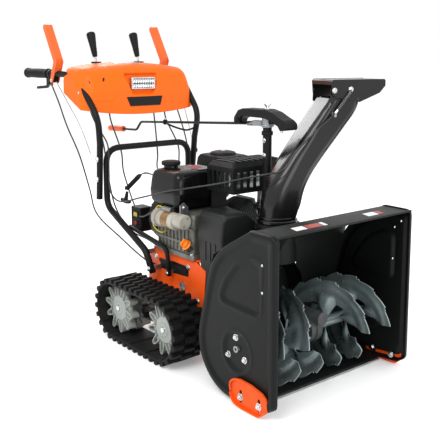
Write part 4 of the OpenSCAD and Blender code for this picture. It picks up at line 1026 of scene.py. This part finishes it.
for s, name in SIDES:
    g = Piece()
    prof = [(0, 16), (1, 20), (3, 21.6), (7, 21.6), (9, 19)]
    ribs = 22
    for k in range(ribs):
        h = 12 + 168 * k / ribs
        swell = 1.2 * math.sin(math.pi * k / ribs)
        prof += [(h, 17.4 + swell), (h + 1.5, 18.6 + swell), (h + 5.0, 18.6 + swell), (h + 6.4, 17.4 + swell)]
    prof += [(182, 18), (190, 18.6), (193, 21.4), (199, 21.9), (201.6, 19), (202, 8)]
    g.add(lathe((GRIP_X, 1430, GRIP_Z), REARWARD, prof, 36), GRIP, s)
    for x in (-9, 5.5):
        g.add(prism(rect(1412, 918, 1440, 952, 5, 3), "yz", GRIP_X + x, GRIP_X + 3.5 + x), BLACK, s)
    g.add(box((-274.6, 1371, 930), (-249.4, 1389, 952.5)), BLACK, s)
    g.add(ring_band((GRIP_X, 1408, GRIP_Z), REARWARD, 0, 20, 12.4, 16.5, 1.5, 32), BLACK, s)
    g.build(f"grip_{name}", "grips", replaces=s == 1, bevel=0.5)

    pad = Piece()
    knee, tip = Vector((-38, 76)), Vector((48, 216))
    outline = [(PIVOT_Y + y, PIVOT_Z + z)
               for y, z in rounded(arm_outline(Vector((0, 0)), knee, tip, 12), 14, 4)]
    for x0 in (-16, 13.2):
        pad.add(prism(outline, "yz", GRIP_X + x0, GRIP_X + x0 + 2.8), PADDLE, s)
    d = (tip - knee).normalized()
    nrm = Vector((-d.y, d.x))
    a = knee + d * 8
    arc = []
    for k in range(9):
        t = math.pi * k / 8
        arc.append(tip + nrm * 11.2 * math.cos(t) + d * 11.2 * math.sin(t))
    foot_n = Vector((-knee.normalized().y, knee.normalized().x))
    line = [knee * 0.34 + foot_n * 11.2, knee * 0.7 + foot_n * 11.2, a + nrm * 11.2,
            a + (tip - a) * 0.5 + nrm * 11.2] + arc + [tip - nrm * 11.2 - d * 40]
    rows = [[(GRIP_X + x, PIVOT_Y + q.x, PIVOT_Z + q.y) for x in (-15.4, -14, -7, 0, 7, 14, 15.4)]
            for q in line]
    web = Piece()
    web.add(grid(rows), PADDLE, s)
    web.build(f"clutch_paddle_{name}_web", f"clutch_paddle_{name}", f"paddle_{name}", solid=2.4, bevel=0.5)
    pad.add(cyl((-280, PIVOT_Y, PIVOT_Z), INBOARD, 0, 36, 4, 0.8, 16), CHROME, s)
    pad.add(cyl((-281, PIVOT_Y, PIVOT_Z), INBOARD, 0, 3, 7, 0.8, 20), CHROME, s)
    pad.build(f"clutch_paddle_{name}_cheeks", f"clutch_paddle_{name}", f"paddle_{name}", replaces=True,
              bevel=0.9)

    trig = Piece()
    curve = rounded(arm_outline(Vector((0, 0)), Vector((30, -16)), Vector((112, -22)), 5.5), 9, 4)
    trig.add(prism([(1424 + y, 926 + z) for y, z in curve], "yz", -267, -257), GRIP, s)
    trig.add(cyl((-271, 1424, 926), INBOARD, 0, 18, 4, 0.6, 16), CHROME, s)
    trig.build(f"steering_trigger_{name}_blade", f"steering_trigger_{name}", f"trigger_{name}", replaces=True,
               bevel=2.2, segments=3)

for node, x in (("speed_lever", -104), ("deflector_lever", 104)):
    lever = Piece()
    lean = Vector((0, math.sin(math.radians(19)), math.cos(math.radians(19))))
    foot = Vector((x, 1294, 955))
    lever.add(ring_band(foot, INBOARD, -10, 10, 5.1, 9, 0.8, 28), STEEL)
    lever.add(tube([foot + lean * 8, foot + lean * 100], 4, 14), STEEL)
    lever.add(lathe(foot, lean, [(84, 5), (85, 9.4), (88, 10.4), (120, 13), (160, 17), (178, 18.6),
                                 (185, 18.2), (189.2, 15), (190, 4)], 36), GRIP)
    for k in range(3):
        lever.add(ring_band(foot, lean, 98 + 9 * k, 101 + 9 * k, 8, 12.2 + 0.8 * k, 0.5, 32), GRIP)
    lever.build(f"{node}_knob", node, node, replaces=True)

crank = Piece()
ci, co = Vector((PX, 470, 808)), Vector((100, 1293, 753))
crank.add(tube(bends([ci, co, (100, 1330, 715), (100, 1436, 711), (100, 1556, 706)], 28, 6), 5, 14), BLACK)
crank.add(lathe((100, 1436, 711), (0, 124, -5), [(0, 9), (1, 12.5), (6, 13.6), (20, 12.4), (60, 13.8),
                                                 (100, 13), (118, 13.8), (122.6, 11), (124, 4)], 32), PADDLE)
crank.add(tube([ci + (co - ci).normalized() * 22, ci + (co - ci).normalized() * 70], 8.5, 16), STEEL)
crank.build("chute_crank_rod", "chute_crank", "chute_crank", replaces=True)

# ---------------------------------------------------------------- engine and belt cover

cad("frame_plate_right", PAINT, 0.9)
cad("frame_plate_left", PAINT, 0.9)
gate = Piece()
gate.add(prism(rounded([(598, 266), (598, 302), (690, 304), (772, 290), (772, 264), (698, 260)], 6, 3), "yz",
               -161.6, -160.1), GRIP)
gate.add(prism(rounded([(606, 278), (606, 292), (776, 300), (776, 286)], 5, 3), "yz", -165, -161.6), BLACK)
gate.build("shift_gate", "frame_plate_right", bevel=0.5)
cad("frame_deck", PAINT, 0.9)

cover = Piece()
hump = rounded([(-158, 116), (-158, 424), (-150, 500), (-138, 514), (-46, 514), (-26, 500), (60, 424),
                (126, 420), (126, 300), (102, 290), (102, 116)], 12, 4)
rows = []
for y, g in ((545, 0.2), (530, 0), (440, 0), (428, 0.6), (421, 3), (417.5, 8), (416.4, 14)):
    ring = []
    for x, z in hump:
        cx, cz = -20, 320
        d = math.hypot(x - cx, z - cz)
        ring.append((x + (cx - x) / d * g, y, z + (cz - z) / d * g))
    rows.append(ring)
v, f = grid(rows, closed=True)
n = len(hump)
f.append(tuple((len(rows) - 1) * n + k for k in range(n)))
cut = [(x, min(y, 500) if z < 345 else y, z) for x, y, z in v]
cover.add((cut, f), COVER)
for k in range(3):
    cover.add(prism(rect(448 + 26 * k, 348, 458 + 26 * k, 414, 3, 3), "yz", -160.6, -157), COVER)
cover.build("belt_cover_moulding", "belt_cover", replaces=True, bevel=3.0, segments=3, angle=30)

crank_case = Piece()
crank_case.add(prism(rect(-172, 556, 40, 790, 12, 4), "xy", 335, 351), CAST)
crank_case.add(block(-165, 566, 30, 780, 16, 4, ((351, 0), (356, -1), (470, -1), (490, 4), (500, 16))), CAST)
for y in range(590, 770, 22):
    crank_case.add(prism(rounded([(y, 356), (y + 5, 356), (y + 5, 470), (y, 478)], 2, 2), "yz", -170, -160),
                   CAST)
crank_case.add(prism(rect(560, 385, 786, 393, 3, 3), "yz", -171, -160), CAST)
crank_case.add(prism(rect(560, 440, 786, 447, 3, 3), "yz", -171, -160), CAST)
crank_case.add(cyl((-75, 546, 440), REARWARD, 0, 22, 52, 2, 48), CAST)
for k in range(6):
    a = math.radians(60 * k)
    crank_case.add(hexagon((-75 + 43 * math.cos(a), 546, 440 + 43 * math.sin(a)), FORWARD, 0, 5, 5), CHROME)
nose = (-math.sin(math.radians(50)), 0, math.cos(math.radians(50)))
crank_case.add(lathe((-160, 585, 372), nose, [(0, 18), (8, 16), (20, 15.6), (21.9, 15)], 32), CAST)
for x, y in ((-163, 572), (-163, 774), (32, 572), (32, 774)):
    crank_case.add(hexagon((x, y, 351), UP, 0, 6, 7), CHROME)
crank_case.build("crankcase_casting", "engine_crankcase", replaces=True, bevel=1.2)

oil = Piece()
o0 = Vector((-160, 585, 372)) + unit(nose) * 22
oil.add(lathe(o0, nose, [(0, 17), (0.6, 18.6), (4, 18.8), (5, 17), (6, 15), (14, 14.4), (16.4, 12.5),
                         (17, 4)], 36), CAPS)
u, w = frame_of(nose)
for k in range(12):
    a = 2 * math.pi * k / 12
    c = o0 + (u * math.cos(a) + w * math.sin(a)) * 14.4
    oil.add(tube([c + unit(nose) * 5.5, c + unit(nose) * 15], 1.5, 8), CAPS)
outline = rect(-15, -3.4, 15, 3.4, 3, 4)
va = [o0 + Vector(REARWARD) * q[1] + unit(nose).cross(Vector(REARWARD)) * q[0] + unit(nose) * 16
      for q in outline]
vb = [o0 + Vector(REARWARD) * q[1] + unit(nose).cross(Vector(REARWARD)) * q[0] * 0.86 + unit(nose) * 26.5
      for q in outline]
oil.add(grid([va, vb], closed=True, caps=True), CAPS)
oil.build("oil_filler_cap", "oil_cap", "oil_cap", replaces=True, bevel=0.7)

tilt = Matrix.Translation(Vector((56, 620, 440))) @ Matrix.Rotation(math.radians(65), 4, "Y")
barrel = Piece()
for k in range(9):
    z = 8 + 8.4 * k
    grow = 3 * math.sin(math.pi * k / 8)
    out = rect(-49 - grow, -56 - grow, 49 + grow, 56 + grow, 12, 4)
    if z < 14:
        out = [(max(x, -50), y) for x, y in out]
    barrel.add(moved(prism(out, "xy", z, z + 2.6), tilt), FINS)
barrel.add(moved(cyl((0, 0, 0), UP, -26, 78, 41, 1, 40), tilt), FINS)
head_out = rect(-46, -50, 46, 50, 10, 4)
rows = [[(x * g, y * g, z) for x, y in head_out] for z, g in ((80, 1), (92, 1), (98, 0.93))]
barrel.add(moved(grid(rows, closed=True, caps=True), tilt), CAST)
for x in (-36, 36):
    for y in (-40, 40):
        barrel.add(moved(hexagon((x, y, 97), UP, 0, 6, 5.5), tilt), CHROME)
barrel.add(moved(lathe((0, -20, 98), UP, [(0, 8), (6, 8), (6.5, 5), (14, 4.6), (15, 6.5), (24, 6.5), (26, 4)],
                       24), tilt), GRIP)
barrel.build("cylinder_and_head", "engine_cylinder", replaces=True, bevel=0.5)

tank = Piece()
rows = []
plan = rect(-204, 600, 4, 786, 30, 8)
for z, g in ((510.5, 20), (513, 12), (528, 3.5), (556, 0), (566, 0.0), (572, 1.4), (600, 4), (618, 7),
             (630, 12), (637, 20), (640, 32), (641.5, 60)):
    cx, cy = -100, 693
    ring = []
    for x, y in plan:
        sx, sy = (104 - g) / 104, (93 - g) / 93
        ring.append((cx + (x - cx) * sx, cy + (y - cy) * sy, z))
    rows.append(ring)
tank.add(grid(rows, closed=True, caps=True), TANK)
tank.add(lathe((-130, 742, 630), UP, [(0, 30), (6, 27), (14, 26), (18, 26)], 36), TANK)
tank.add(ring_band((-100, 693, 0), UP, 0, 0.1, 1, 2, 0.01, 3), TANK)
for y in (632, 750):
    tank.add(box((-150, y, 500), (-20, y + 5, 512)), TANK)
tank.build("fuel_tank_shell", "fuel_tank", replaces=True, bevel=0.8, angle=50)
sticker = Piece()
rows = []
for i in range(7):
    y = 622 + 98 * i / 6
    rows.append([(x, y, 641.7) for x in [-92 + 70 * k / 6 for k in range(7)]])
sticker.add(grid(rows), PLATE)
sticker.add(prism(rounded([(-90, 640), (-62, 640), (-40, 712), (-90, 712)], 4, 3), "xy", 641.6, 642.4), RED)
sticker.build("fuel_tank_label", "fuel_tank", solid=0.6)

lid = Piece()
prof = [(0, 32), (1.5, 34.5), (10, 35), (14, 33), (15.6, 28), (16, 16), (15.2, 4)]
v, f = lathe((-130, 742, 648.3), UP, prof, 96)
v = [Vector(p) for p in v]
for i, p in enumerate(v):
    a = math.atan2(p.y - 742, p.x + 130)
    r = math.hypot(p.y - 742, p.x + 130)
    if r > 26:
        g = 1 - 0.055 * (0.5 + 0.5 * math.cos(24 * a))
        p.x, p.y = -130 + (p.x + 130) * g, 742 + (p.y - 742) * g
lid.add((v, f), BLACK)
lid.build("fuel_filler_cap", "fuel_cap", "fuel_cap", replaces=True)

guard = Piece()
for k in range(9):
    x = -72 + 29.5 * k
    guard.add(prism(rect(x, 586, x + 13, 650, 5, 3), "xz", 454.4, 458), BLACK)
guard.add(prism(rect(-75, 572, 168, 590, 4, 3), "xz", 454.2, 458.4), BLACK)
guard.add(prism(rect(-75, 646, 168, 662, 4, 3), "xz", 454.2, 458.4), BLACK)
guard.add(box((-72, 456, 572), (-71, 594, 574)), BLACK)
for k in range(6):
    y = 456 + 26.4 * k
    guard.add(prism(rect(y, 574, y + 12, 656, 4, 3), "yz", -75, -71.6), BLACK)
    guard.add(prism(rect(y, 574, y + 12, 656, 4, 3), "yz", 164.6, 168), BLACK)
for z in (572, 644):
    guard.add(prism(rect(454, z, 596, z + 15, 4, 3), "yz", -75.2, -71.4), BLACK)
    guard.add(prism(rect(454, z, 596, z + 15, 4, 3), "yz", 164.4, 168.2), BLACK)
guard.add(prism(rect(-75, 572, 168, 660, 4, 3), "xz", 593, 596), BLACK)
for k in range(8):
    x = -58 + 27.5 * k
    rows = []
    for y, z in ((470, 671), (476, 680), (520, 681.5), (572, 680), (582, 671)):
        rows.append([(x, y, z - 2), (x + 15, y, z - 2), (x + 15, y, z + 0.6), (x, y, z + 0.6)])
    guard.add(grid(rows, closed=True, caps=True), BLACK)
eaves, crown = [rect(-75, 454, 168, 596, 10, 4), rect(-60, 466, 154, 586, 10, 4)]
guard.add(grid([[(x, y, z) for x, y in ring] for ring, z in ((eaves, 658), (eaves, 662), (crown, 679),
                                                             (crown, 675))], closed=True), BLACK)
guard.add(box((-60, 593, 500), (10, 596, 576)), BLACK)
guard.build("silencer_guard", "muffler_guard", replaces=True, bevel=0.6)

air = Piece()
air.add(block(8, 612, 150, 780, 18, 5, ((562, 1), (566, 0), (640, 0), (662, 3), (672, 9), (675.4, 18))),
        BLACK)
air.add(lathe((76, 696, 660), UP, [(0, 50), (18, 50), (24, 46), (28, 30), (28.6, 6)], 48), BLACK)
air.add(cyl((76, 696, 686), UP, 0, 4, 9, 1, 24), CHROME)
air.add(box((8, 690, 500), (14, 770, 566)), CAST)
air.add(box((40, 700, 505), (88, 740, 564)), CAST)
air.add(cyl((64, 690, 532), FORWARD, 0, 30, 15, 1.5), CAST)
air.add(cyl((-62, 520, 612), INBOARD, 0, 212, 36, 8, 48), STEEL)
air.add(tube(bends([(132, 545, 600), (132, 550, 500), (132, 572, 480)], 22, 6), 11, 16), STEEL)
air.build("air_cleaner_and_silencer", "air_box", replaces=True, bevel=0.8)

recoil = Piece()
recoil.add(lathe((-75, 790.5, 440), REARWARD, [(0, 96), (2, 96), (38, 95), (52, 88), (58, 80), (60, 70.5),
                                               (61.5, 70), (76, 69), (80.5, 64), (81.4, 50), (80, 20)], 64),
           BLACK)
for k in range(18):
    a = math.radians(20 * k)
    c = Vector((-75 + 54 * math.cos(a), 872.2, 440 + 54 * math.sin(a)))
    recoil.add(tube([c - Vector((math.cos(a), 0, math.sin(a))) * 11,
                     c + Vector((math.cos(a), 0, math.sin(a))) * 9], 2.6, 8), GRIP)
for k in range(16):
    a = math.radians(22.5 * k + 11)
    c = Vector((-75 + 84 * math.cos(a), 849, 440 + 84 * math.sin(a)))
    recoil.add(tube([c, c + Vector((math.cos(a) * 7, -14, math.sin(a) * 7))], 2.6, 8), GRIP)
path = bends([(-100, 866, 500), (-60, 905, 570), (-92, 985, 590), (-158, 1000, 528)], 40, 8)
rows = []
for i, p in enumerate(path):
    t = (path[min(i + 1, len(path) - 1)] - path[max(i - 1, 0)]).normalized()
    acr = t.cross(Vector((0.6, -0.4, 0.7))).normalized()
    nrm = t.cross(acr)
    rows.append([p + acr * 9 + nrm * 1.6, p + acr * 9 - nrm * 1.6, p - acr * 9 - nrm * 1.6,
                 p - acr * 9 + nrm * 1.6])
recoil.add(grid(rows, closed=True, caps=True), BLACK)
for k in range(3, len(path) - 2, 3):
    t = (path[k + 1] - path[k - 1]).normalized()
    acr = t.cross(Vector((0.6, -0.4, 0.7))).normalized()
    nrm = t.cross(acr)
    recoil.add(ring_band(path[k], nrm, -2.1, 2.1, 2.4, 4.2, 0.3, 16), STEEL)
recoil.add(ring_band((-158, 1000, 528), (-0.17, 0.06, -0.984), -8, 6, 4.5, 10, 1, 24), BLACK)
recoil.build("recoil_starter_cover", "recoil_housing", replaces=True, bevel=0.5)
pull = Piece()
pull.add(tube(spline([(-166, 971, 481), (-164, 985, 478), (-164, 1003, 477), (-163, 1020, 478),
                      (-162, 1034, 481)], 6), [7.2 + 1.6 * math.sin(math.pi * k / 24) for k in range(25)],
              16), GRIP)
pull.add(tube([(-164.5, 1003, 480), (-161, 1001, 500), (-159, 1000, 516)], [9, 7, 5.5], 16), GRIP)
pull.build("recoil_pull_grip", "recoil_handle", "recoil_handle", replaces=True, bevel=0.5)

starter = Piece()
starter.add(lathe((-203, 604, 470), REARWARD, [(0, 28), (1, 30), (22, 30), (24, 30.6), (70, 30.6), (72, 30),
                                               (95, 30), (96, 29)], 48), WHITE)
starter.add(lathe((-203, 628, 470), REARWARD, [(0, 30.7), (0.4, 31.2), (41, 31.2), (41.4, 30.7)], 48), BROWN)
starter.add(lathe((-203, 556, 476), REARWARD, [(0, 20), (0.8, 24), (2.5, 26), (44, 26), (48, 25)], 48), WHITE)
starter.add(lathe((-203, 700, 470), REARWARD, [(0, 32), (1.5, 34), (18, 34), (22, 31)], 48), WHITE)
starter.add(cyl((-199, 722, 472), REARWARD, 0, 30, 17, 2), CAST)
for a in (60, 240):
    q = (-203 + 15 * math.cos(math.radians(a)), 556, 476 + 15 * math.sin(math.radians(a)))
    starter.add(lathe(q, FORWARD, [(0, 3.4), (1.2, 3.2), (1.8, 1.6)], 16), STEEL)
starter.add(prism(rounded([(-166, 480), (-166, 520), (-184, 540), (-200, 528), (-200, 498)], 4, 3), "xz", 590,
                  594), STEEL)
starter.add(hexagon((-184, 590, 520), FORWARD, 0, 5, 6), CHROME)
starter.add(cyl((-199, 640, 504), REARWARD, 0, 50, 11, 1.5, 24), STEEL)
starter.build("starter_motor", "electric_starter", replaces=True, bevel=0.4)
wires = Piece()
wires.add(tube(spline([(-199, 692, 504), (-206, 716, 510), (-222, 724, 480), (-226, 716, 440),
                       (-214, 690, 420), (-190, 684, 424), (-172, 690, 430)], 8), 2.6, 10), YELLOW)
wires.add(tube(spline([(-196, 745, 474), (-200, 780, 470), (-196, 830, 450), (-180, 880, 440),
                       (-164, 900, 436)], 8), 3.0, 10), CABLE)
wires.add(tube(spline([(-199, 640, 512), (-190, 620, 524), (-176, 610, 512), (-168, 606, 496)], 8), 2.4, 10),
          CABLE)
wires.build("starter_wires", "electric_starter")

switch = Piece()
switch.add(block(-165, 900, -108, 966, 7, 4, ((372, 4), (374, 1), (376, 0), (462, 0), (464, 1), (466, 4))),
           BLACK)
switch.add(prism(rect(912, 424, 948, 452, 4, 3), "yz", -167.4, -164), BLACK)
switch.add(prism(rect(918, 430, 942, 446, 3, 3), "yz", -168.6, -165), YELLOW)
switch.add(cyl((-165, 930, 404), OUTBOARD, 0, 5, 8, 1.2, 24), RED)
switch.add(box((-130, 872.3, 410), (-114, 901, 424)), BLACK)
switch.build("starter_switch_box", "switch_box", replaces=True, bevel=0.8)

# ---------------------------------------------------------------- tracks and wheels

FRONT, REAR, AXLE, BASE = 555, 845, 116, 290
OUT = AXLE - 13
LOOP = 2 * BASE + 2 * math.pi * OUT
# Section of a lug: distance along the loop, height above the band.
LUG = ((-10, -1.5), (-9.2, 6), (-7, 11.1), (-5.2, 12.9), (5.2, 12.9), (7, 11.1), (9.2, 6), (10, -1.5))


def on_loop(d, r):
    """Point and outward direction on the track loop, clockwise seen from the near side."""
    d %= LOOP
    arc = math.pi * OUT
    if d < BASE:
        return (FRONT + d, AXLE + r), (0, 1)
    if d < BASE + arc:
        a = math.pi / 2 - (d - BASE) / OUT
        return (REAR + math.cos(a) * r, AXLE + math.sin(a) * r), (math.cos(a), math.sin(a))
    if d < 2 * BASE + arc:
        return (REAR - (d - BASE - arc), AXLE - r), (0, -1)
    a = -math.pi / 2 - (d - 2 * BASE - arc) / OUT
    return (FRONT + math.cos(a) * r, AXLE + math.sin(a) * r), (math.cos(a), math.sin(a))


# A wheel tooth is two webs joined round the tip, like a hairpin: distance from the axle, half width.
TOOTH = [(47, -13), (70, -11.5), (84, -9), (89.5, -5.5), (91.6, 0), (89.5, 5.5), (84, 9), (70, 11.5),
         (47, 13), (47, 8.6), (70, 7.6), (82, 4.8), (86.5, 0), (82, -4.8), (70, -7.6), (47, -8.6)]
TOOTH_ENDS = [(0, 1, 14, 15), (1, 2, 13, 14), (2, 3, 4, 12, 13), (4, 5, 6, 11, 12), (6, 7, 10, 11),
              (7, 8, 9, 10)]


def track(s, name):
    band = Piece()
    rows = []
    n = 180
    for i in range(n):
        d = LOOP * i / n
        ring = []
        for x, dr in ((-334, -8), (-334.2, -1), (-332, 0), (-204, 0), (-201.8, -1), (-202, -8)):
            (y, z), _ = on_loop(d, OUT + dr)
            ring.append((x, y, z))
        rows.append(ring)
    rows.append(rows[0])
    band.add(grid(rows, closed=True), RUBBER, s)
    band.build(f"track_band_{name}", f"track_belt_{name}", replaces=True, weld=True)
    lugs = Piece()
    count = 36
    for i in range(count):
        for x0, x1, stagger in ((-336, -295, 0), (-290, -246, 0.5), (-241, -200, 0)):
            d = LOOP * (i + 0.5 + stagger) / count
            (y, z), o = on_loop(d, OUT)
            ring = [[(x, y + o[1] * dd + o[0] * hh, z - o[0] * dd + o[1] * hh) for dd, hh in LUG]
                    for x in (x0, x1)]
            lugs.add(grid(ring, closed=True, caps=True), RUBBER, s)
        # drive bar inside the belt
        d = LOOP * (i + 0.5) / count
        if i % 3 == 0:
            (y, z), o = on_loop(d, OUT - 8)
            rows = []
            for x, hh in ((-333, 0), (-330, -2.6), (-206, -2.6), (-203, 0)):
                section = ((-5, 1), (-3.5, hh), (3.5, hh), (5, 1))
                rows.append([(x, y + o[1] * dd + o[0] * h, z - o[0] * dd + o[1] * h) for dd, h in section])
            lugs.add(grid(rows, closed=True, caps=True), RUBBER, s)
    lugs.build(f"track_lugs_{name}", f"track_belt_{name}", bevel=1.6, angle=40)


for s, name in SIDES:
    track(s, name)
    for where, y in (("front", FRONT), ("rear", REAR)):
        wheel = Piece()
        o = (-304, y, AXLE)
        # dished outer disc with its hub and round cover
        wheel.add(lathe(o, INBOARD, [(10, 6), (4, 10), (2, 13), (1.4, 20), (2.2, 24), (4.5, 26), (5, 44),
                                     (6, 46.5), (9, 47), (10, 68), (11.5, 71.5), (16, 72.5), (22, 71.5),
                                     (22, 40), (20, 20)], 60, close=False), WHEEL, s)
        wheel.add(ring_band(o, INBOARD, 84, 94, 14, 62, 1.5, 60), WHEEL, s)
        wheel.add(ring_band(o, INBOARD, 14, 114, 12, 27, 1.5, 40), WHEEL, s)
        for k in range(10):
            a = 36 * k + (8 if where == "front" else 26)
            turn = Matrix.Translation(Vector((0, y, AXLE))) @ Matrix.Rotation(math.radians(a), 4, "X")
            for x0, x1 in ((-302, -268), (-236, -204)):
                rows = []
                for x, g in ((x0, 0.8), (x0 + 1.4, 0), (x1 - 1.4, 0), (x1, 0.8)):
                    rows.append([(x, w, r - g * (r > 80)) for r, w in TOOTH])
                wheel.add(moved(grid(rows, closed=True), turn), WHEEL, s)
                for x in (x0, x1):
                    wheel.add(moved(([(x, w, r) for r, w in TOOTH], TOOTH_ENDS), turn), WHEEL, s)
            # stiffening rib on the disc and its bolt
            wheel.add(moved(box((-296, 17.4, 47), (-293, 19, 69)), turn), WHEEL, s)
            wheel.add(moved(box((-296, 9.5, 68), (-272, 12, 76)), turn), WHEEL, s)
        wheel.add(cyl((-306, y, AXLE), INBOARD, 0, 5, 10, 1.5, 32), CHROME, s)
        wheel.add(hexagon((-300, y, AXLE), OUTBOARD, 0, 5.8, 8), CHROME, s)
        wheel.add(cyl((-190, y, AXLE), INBOARD, 0, 40, 10, 1, 24), STEEL, s)
        wheel.build(f"wheel_{where}_{name}_star", f"wheel_{where}_{name}", f"wheel_{where}_{name}",
                    replaces=True, bevel=0.7, angle=40)
cad("track_frames", POWDER, 1.5)

# ---------------------------------------------------------------- cables, shift lever and small parts

lines = Piece()
for s, name in SIDES:
    lines.add(tube(spline([(-262, 1410, 920), (-275, 1370, 905), (-282, 1310, 850), (-280, 1250, 760),
                           (-266, 1180, 650), (-250, 1134, 520), (-238, 1100, 420), (-222, 950, 350),
                           (-190, 845, 288), (-166, 800, 270)], 10), 3.0, 12), CABLE, s)
    lines.add(tube(spline([(-278, 1335, 935), (-276, 1235, 845), (-262, 1170, 760), (-250, 1118, 660)], 8),
                   1.6, 8), STEEL, s)
    lines.add(cyl((-262, 1404, 921), (0, 1, -0.1), 0, 18, 5, 1, 20), STEEL, s)
for route in ([(-200, 1170, 850), (-196, 1165, 800), (-194, 1112, 690), (-178, 1108, 560), (-174, 1060, 440),
               (-152, 985, 362), (-130, 900, 338), (-100, 824, 300)],
              [(-140, 1160, 845), (-136, 1150, 780), (-112, 1116, 660), (-102, 1110, 560), (-98, 1000, 400),
               (-70, 880, 340), (-50, 824, 300)], [(60, 1150, 835), (66, 1140, 790), (62, 1112, 640),
                                                   (60, 1108, 560), (50, 1000, 400), (20, 880, 340),
                                                   (0, 824, 300)],
              [(130, 1160, 840), (126, 1140, 775), (168, 1112, 660), (172, 1108, 560), (160, 1020, 420),
               (80, 880, 340), (50, 824, 300)]):
    lines.add(tube(spline(route, 10), 3.0, 12), CABLE)
    lines.add(cyl(route[-1], Vector(route[-2]) - Vector(route[-1]), 0, 22, 4.6, 1, 16), STEEL)
lines.add(tube(spline([(221, 1074, 735), (190, 1080, 728), (150, 1088, 738), (102, 1094, 757)], 8), 4, 12),
          POWDER)
eye = ci + (co - ci) * ((1090 - 470) / (1293 - 470))
lines.add(ring_band(eye, co - ci, 0, 9, 5.2, 11, 1, 32), BLACK)
lines.add(hexagon(eye + Vector((0, 4, 11)), UP, 0, 5, 5), CHROME)
lines.build("control_cable_set", "control_cables", replaces=True)

ROUTE = [(-226, 1170, 850), (-214, 1150, 790), (-206, 1100, 735), (-204, 1062, 690), (-206, 1056, 600),
         (-216, 1030, 520), (-222, 950, 492), (-222, 800, 530), (-216, 660, 570), (-200, 575, 590),
         (-120, 470, 615), (-74, 410, 634), (-40, 330, 655), (-5, 281, 675), (44, 270, 735), (117, 250, 800),
         (184, 233, 855), (240, 216, 926)]
bowden = Piece()
bowden.add(tube(spline(ROUTE, 10), 3.0, 12), CABLE)
coil = []
a, b = Vector((190, 231, 862)), Vector((238, 217, 922))
axis = (b - a).normalized()
u, w = frame_of(axis)
turns, per = 15, 14
for i in range(turns * per + 1):
    t = i / (turns * per)
    ang = 2 * math.pi * i / per
    coil.append(a + (b - a) * t + (u * math.cos(ang) + w * math.sin(ang)) * 4.6)
bowden.add(tube(coil, 0.9, 6), STEEL)
bowden.add(cyl(a, -axis, -2, 14, 4.4, 1, 16), CHROME)
bowden.build("deflector_bowden_cable", "deflector_cable", replaces=True)

# ---------------------------------------------------------------- floor, light and camera

floor = bpy.data.meshes.new("floor")
floor.from_pydata([(-40, -40, 0), (40, -40, 0), (40, 40, 0), (-40, 40, 0)], [], [(0, 1, 2, 3)])
floor_obj = bpy.data.objects.new("floor", floor)
floor_mat = bpy.data.materials.new("floor_white")
floor_mat.use_nodes = True
floor_bsdf = floor_mat.node_tree.nodes["Principled BSDF"]
floor_bsdf.inputs["Base Color"].default_value = (0.86, 0.86, 0.86, 1)
floor_bsdf.inputs["Roughness"].default_value = 0.9
floor_bsdf.inputs["Specular IOR Level"].default_value = 0.1
floor_bsdf.inputs["Emission Color"].default_value = (1, 1, 1, 1)
floor_bsdf.inputs["Emission Strength"].default_value = 0.2
floor.materials.append(floor_mat)
bpy.context.collection.objects.link(floor_obj)

world = bpy.data.worlds.new("studio")
world.use_nodes = True
world.node_tree.nodes["Background"].inputs["Color"].default_value = (1, 1, 1, 1)
world.node_tree.nodes["Background"].inputs["Strength"].default_value = 1.0
bpy.context.scene.world = world


def area(name, at, aim, size, power):
    data = bpy.data.lights.new(name, "AREA")
    data.shape = "RECTANGLE"
    data.size, data.size_y = size
    data.energy = power
    o = bpy.data.objects.new(name, data)
    o.location = at
    o.rotation_euler = (Vector(aim) - Vector(at)).to_track_quat("-Z", "Y").to_euler()
    bpy.context.collection.objects.link(o)


area("key", (-2.6, -1.2, 3.2), (0, 0, 0.5), (2.2, 1.6), 80)
area("fill", (2.4, -2.8, 1.9), (0, -0.4, 0.5), (2.0, 2.0), 26)
area("rim", (0.6, 3.4, 2.6), (0, 0, 0.6), (2.4, 1.2), 60)
area("front", (-0.6, -3.6, 1.1), (0.1, -0.6, 0.4), (2.2, 1.2), 26)

camera_data = bpy.data.cameras.new("camera")
camera_data.sensor_width = 36
camera_data.lens = 61.5355
camera_data.shift_y = -0.125
camera = bpy.data.objects.new("camera", camera_data)
camera.location = (-1.7279, -2.2905, 1.0522)
yaw, pitch = math.radians(38.884), math.radians(8.507)
look = Vector((math.sin(yaw) * math.cos(pitch), math.cos(yaw) * math.cos(pitch), -math.sin(pitch)))
camera.rotation_euler = look.to_track_quat("-Z", "Y").to_euler()
bpy.context.collection.objects.link(camera)
bpy.context.scene.camera = camera
bpy.context.scene.view_settings.view_transform = "Standard"
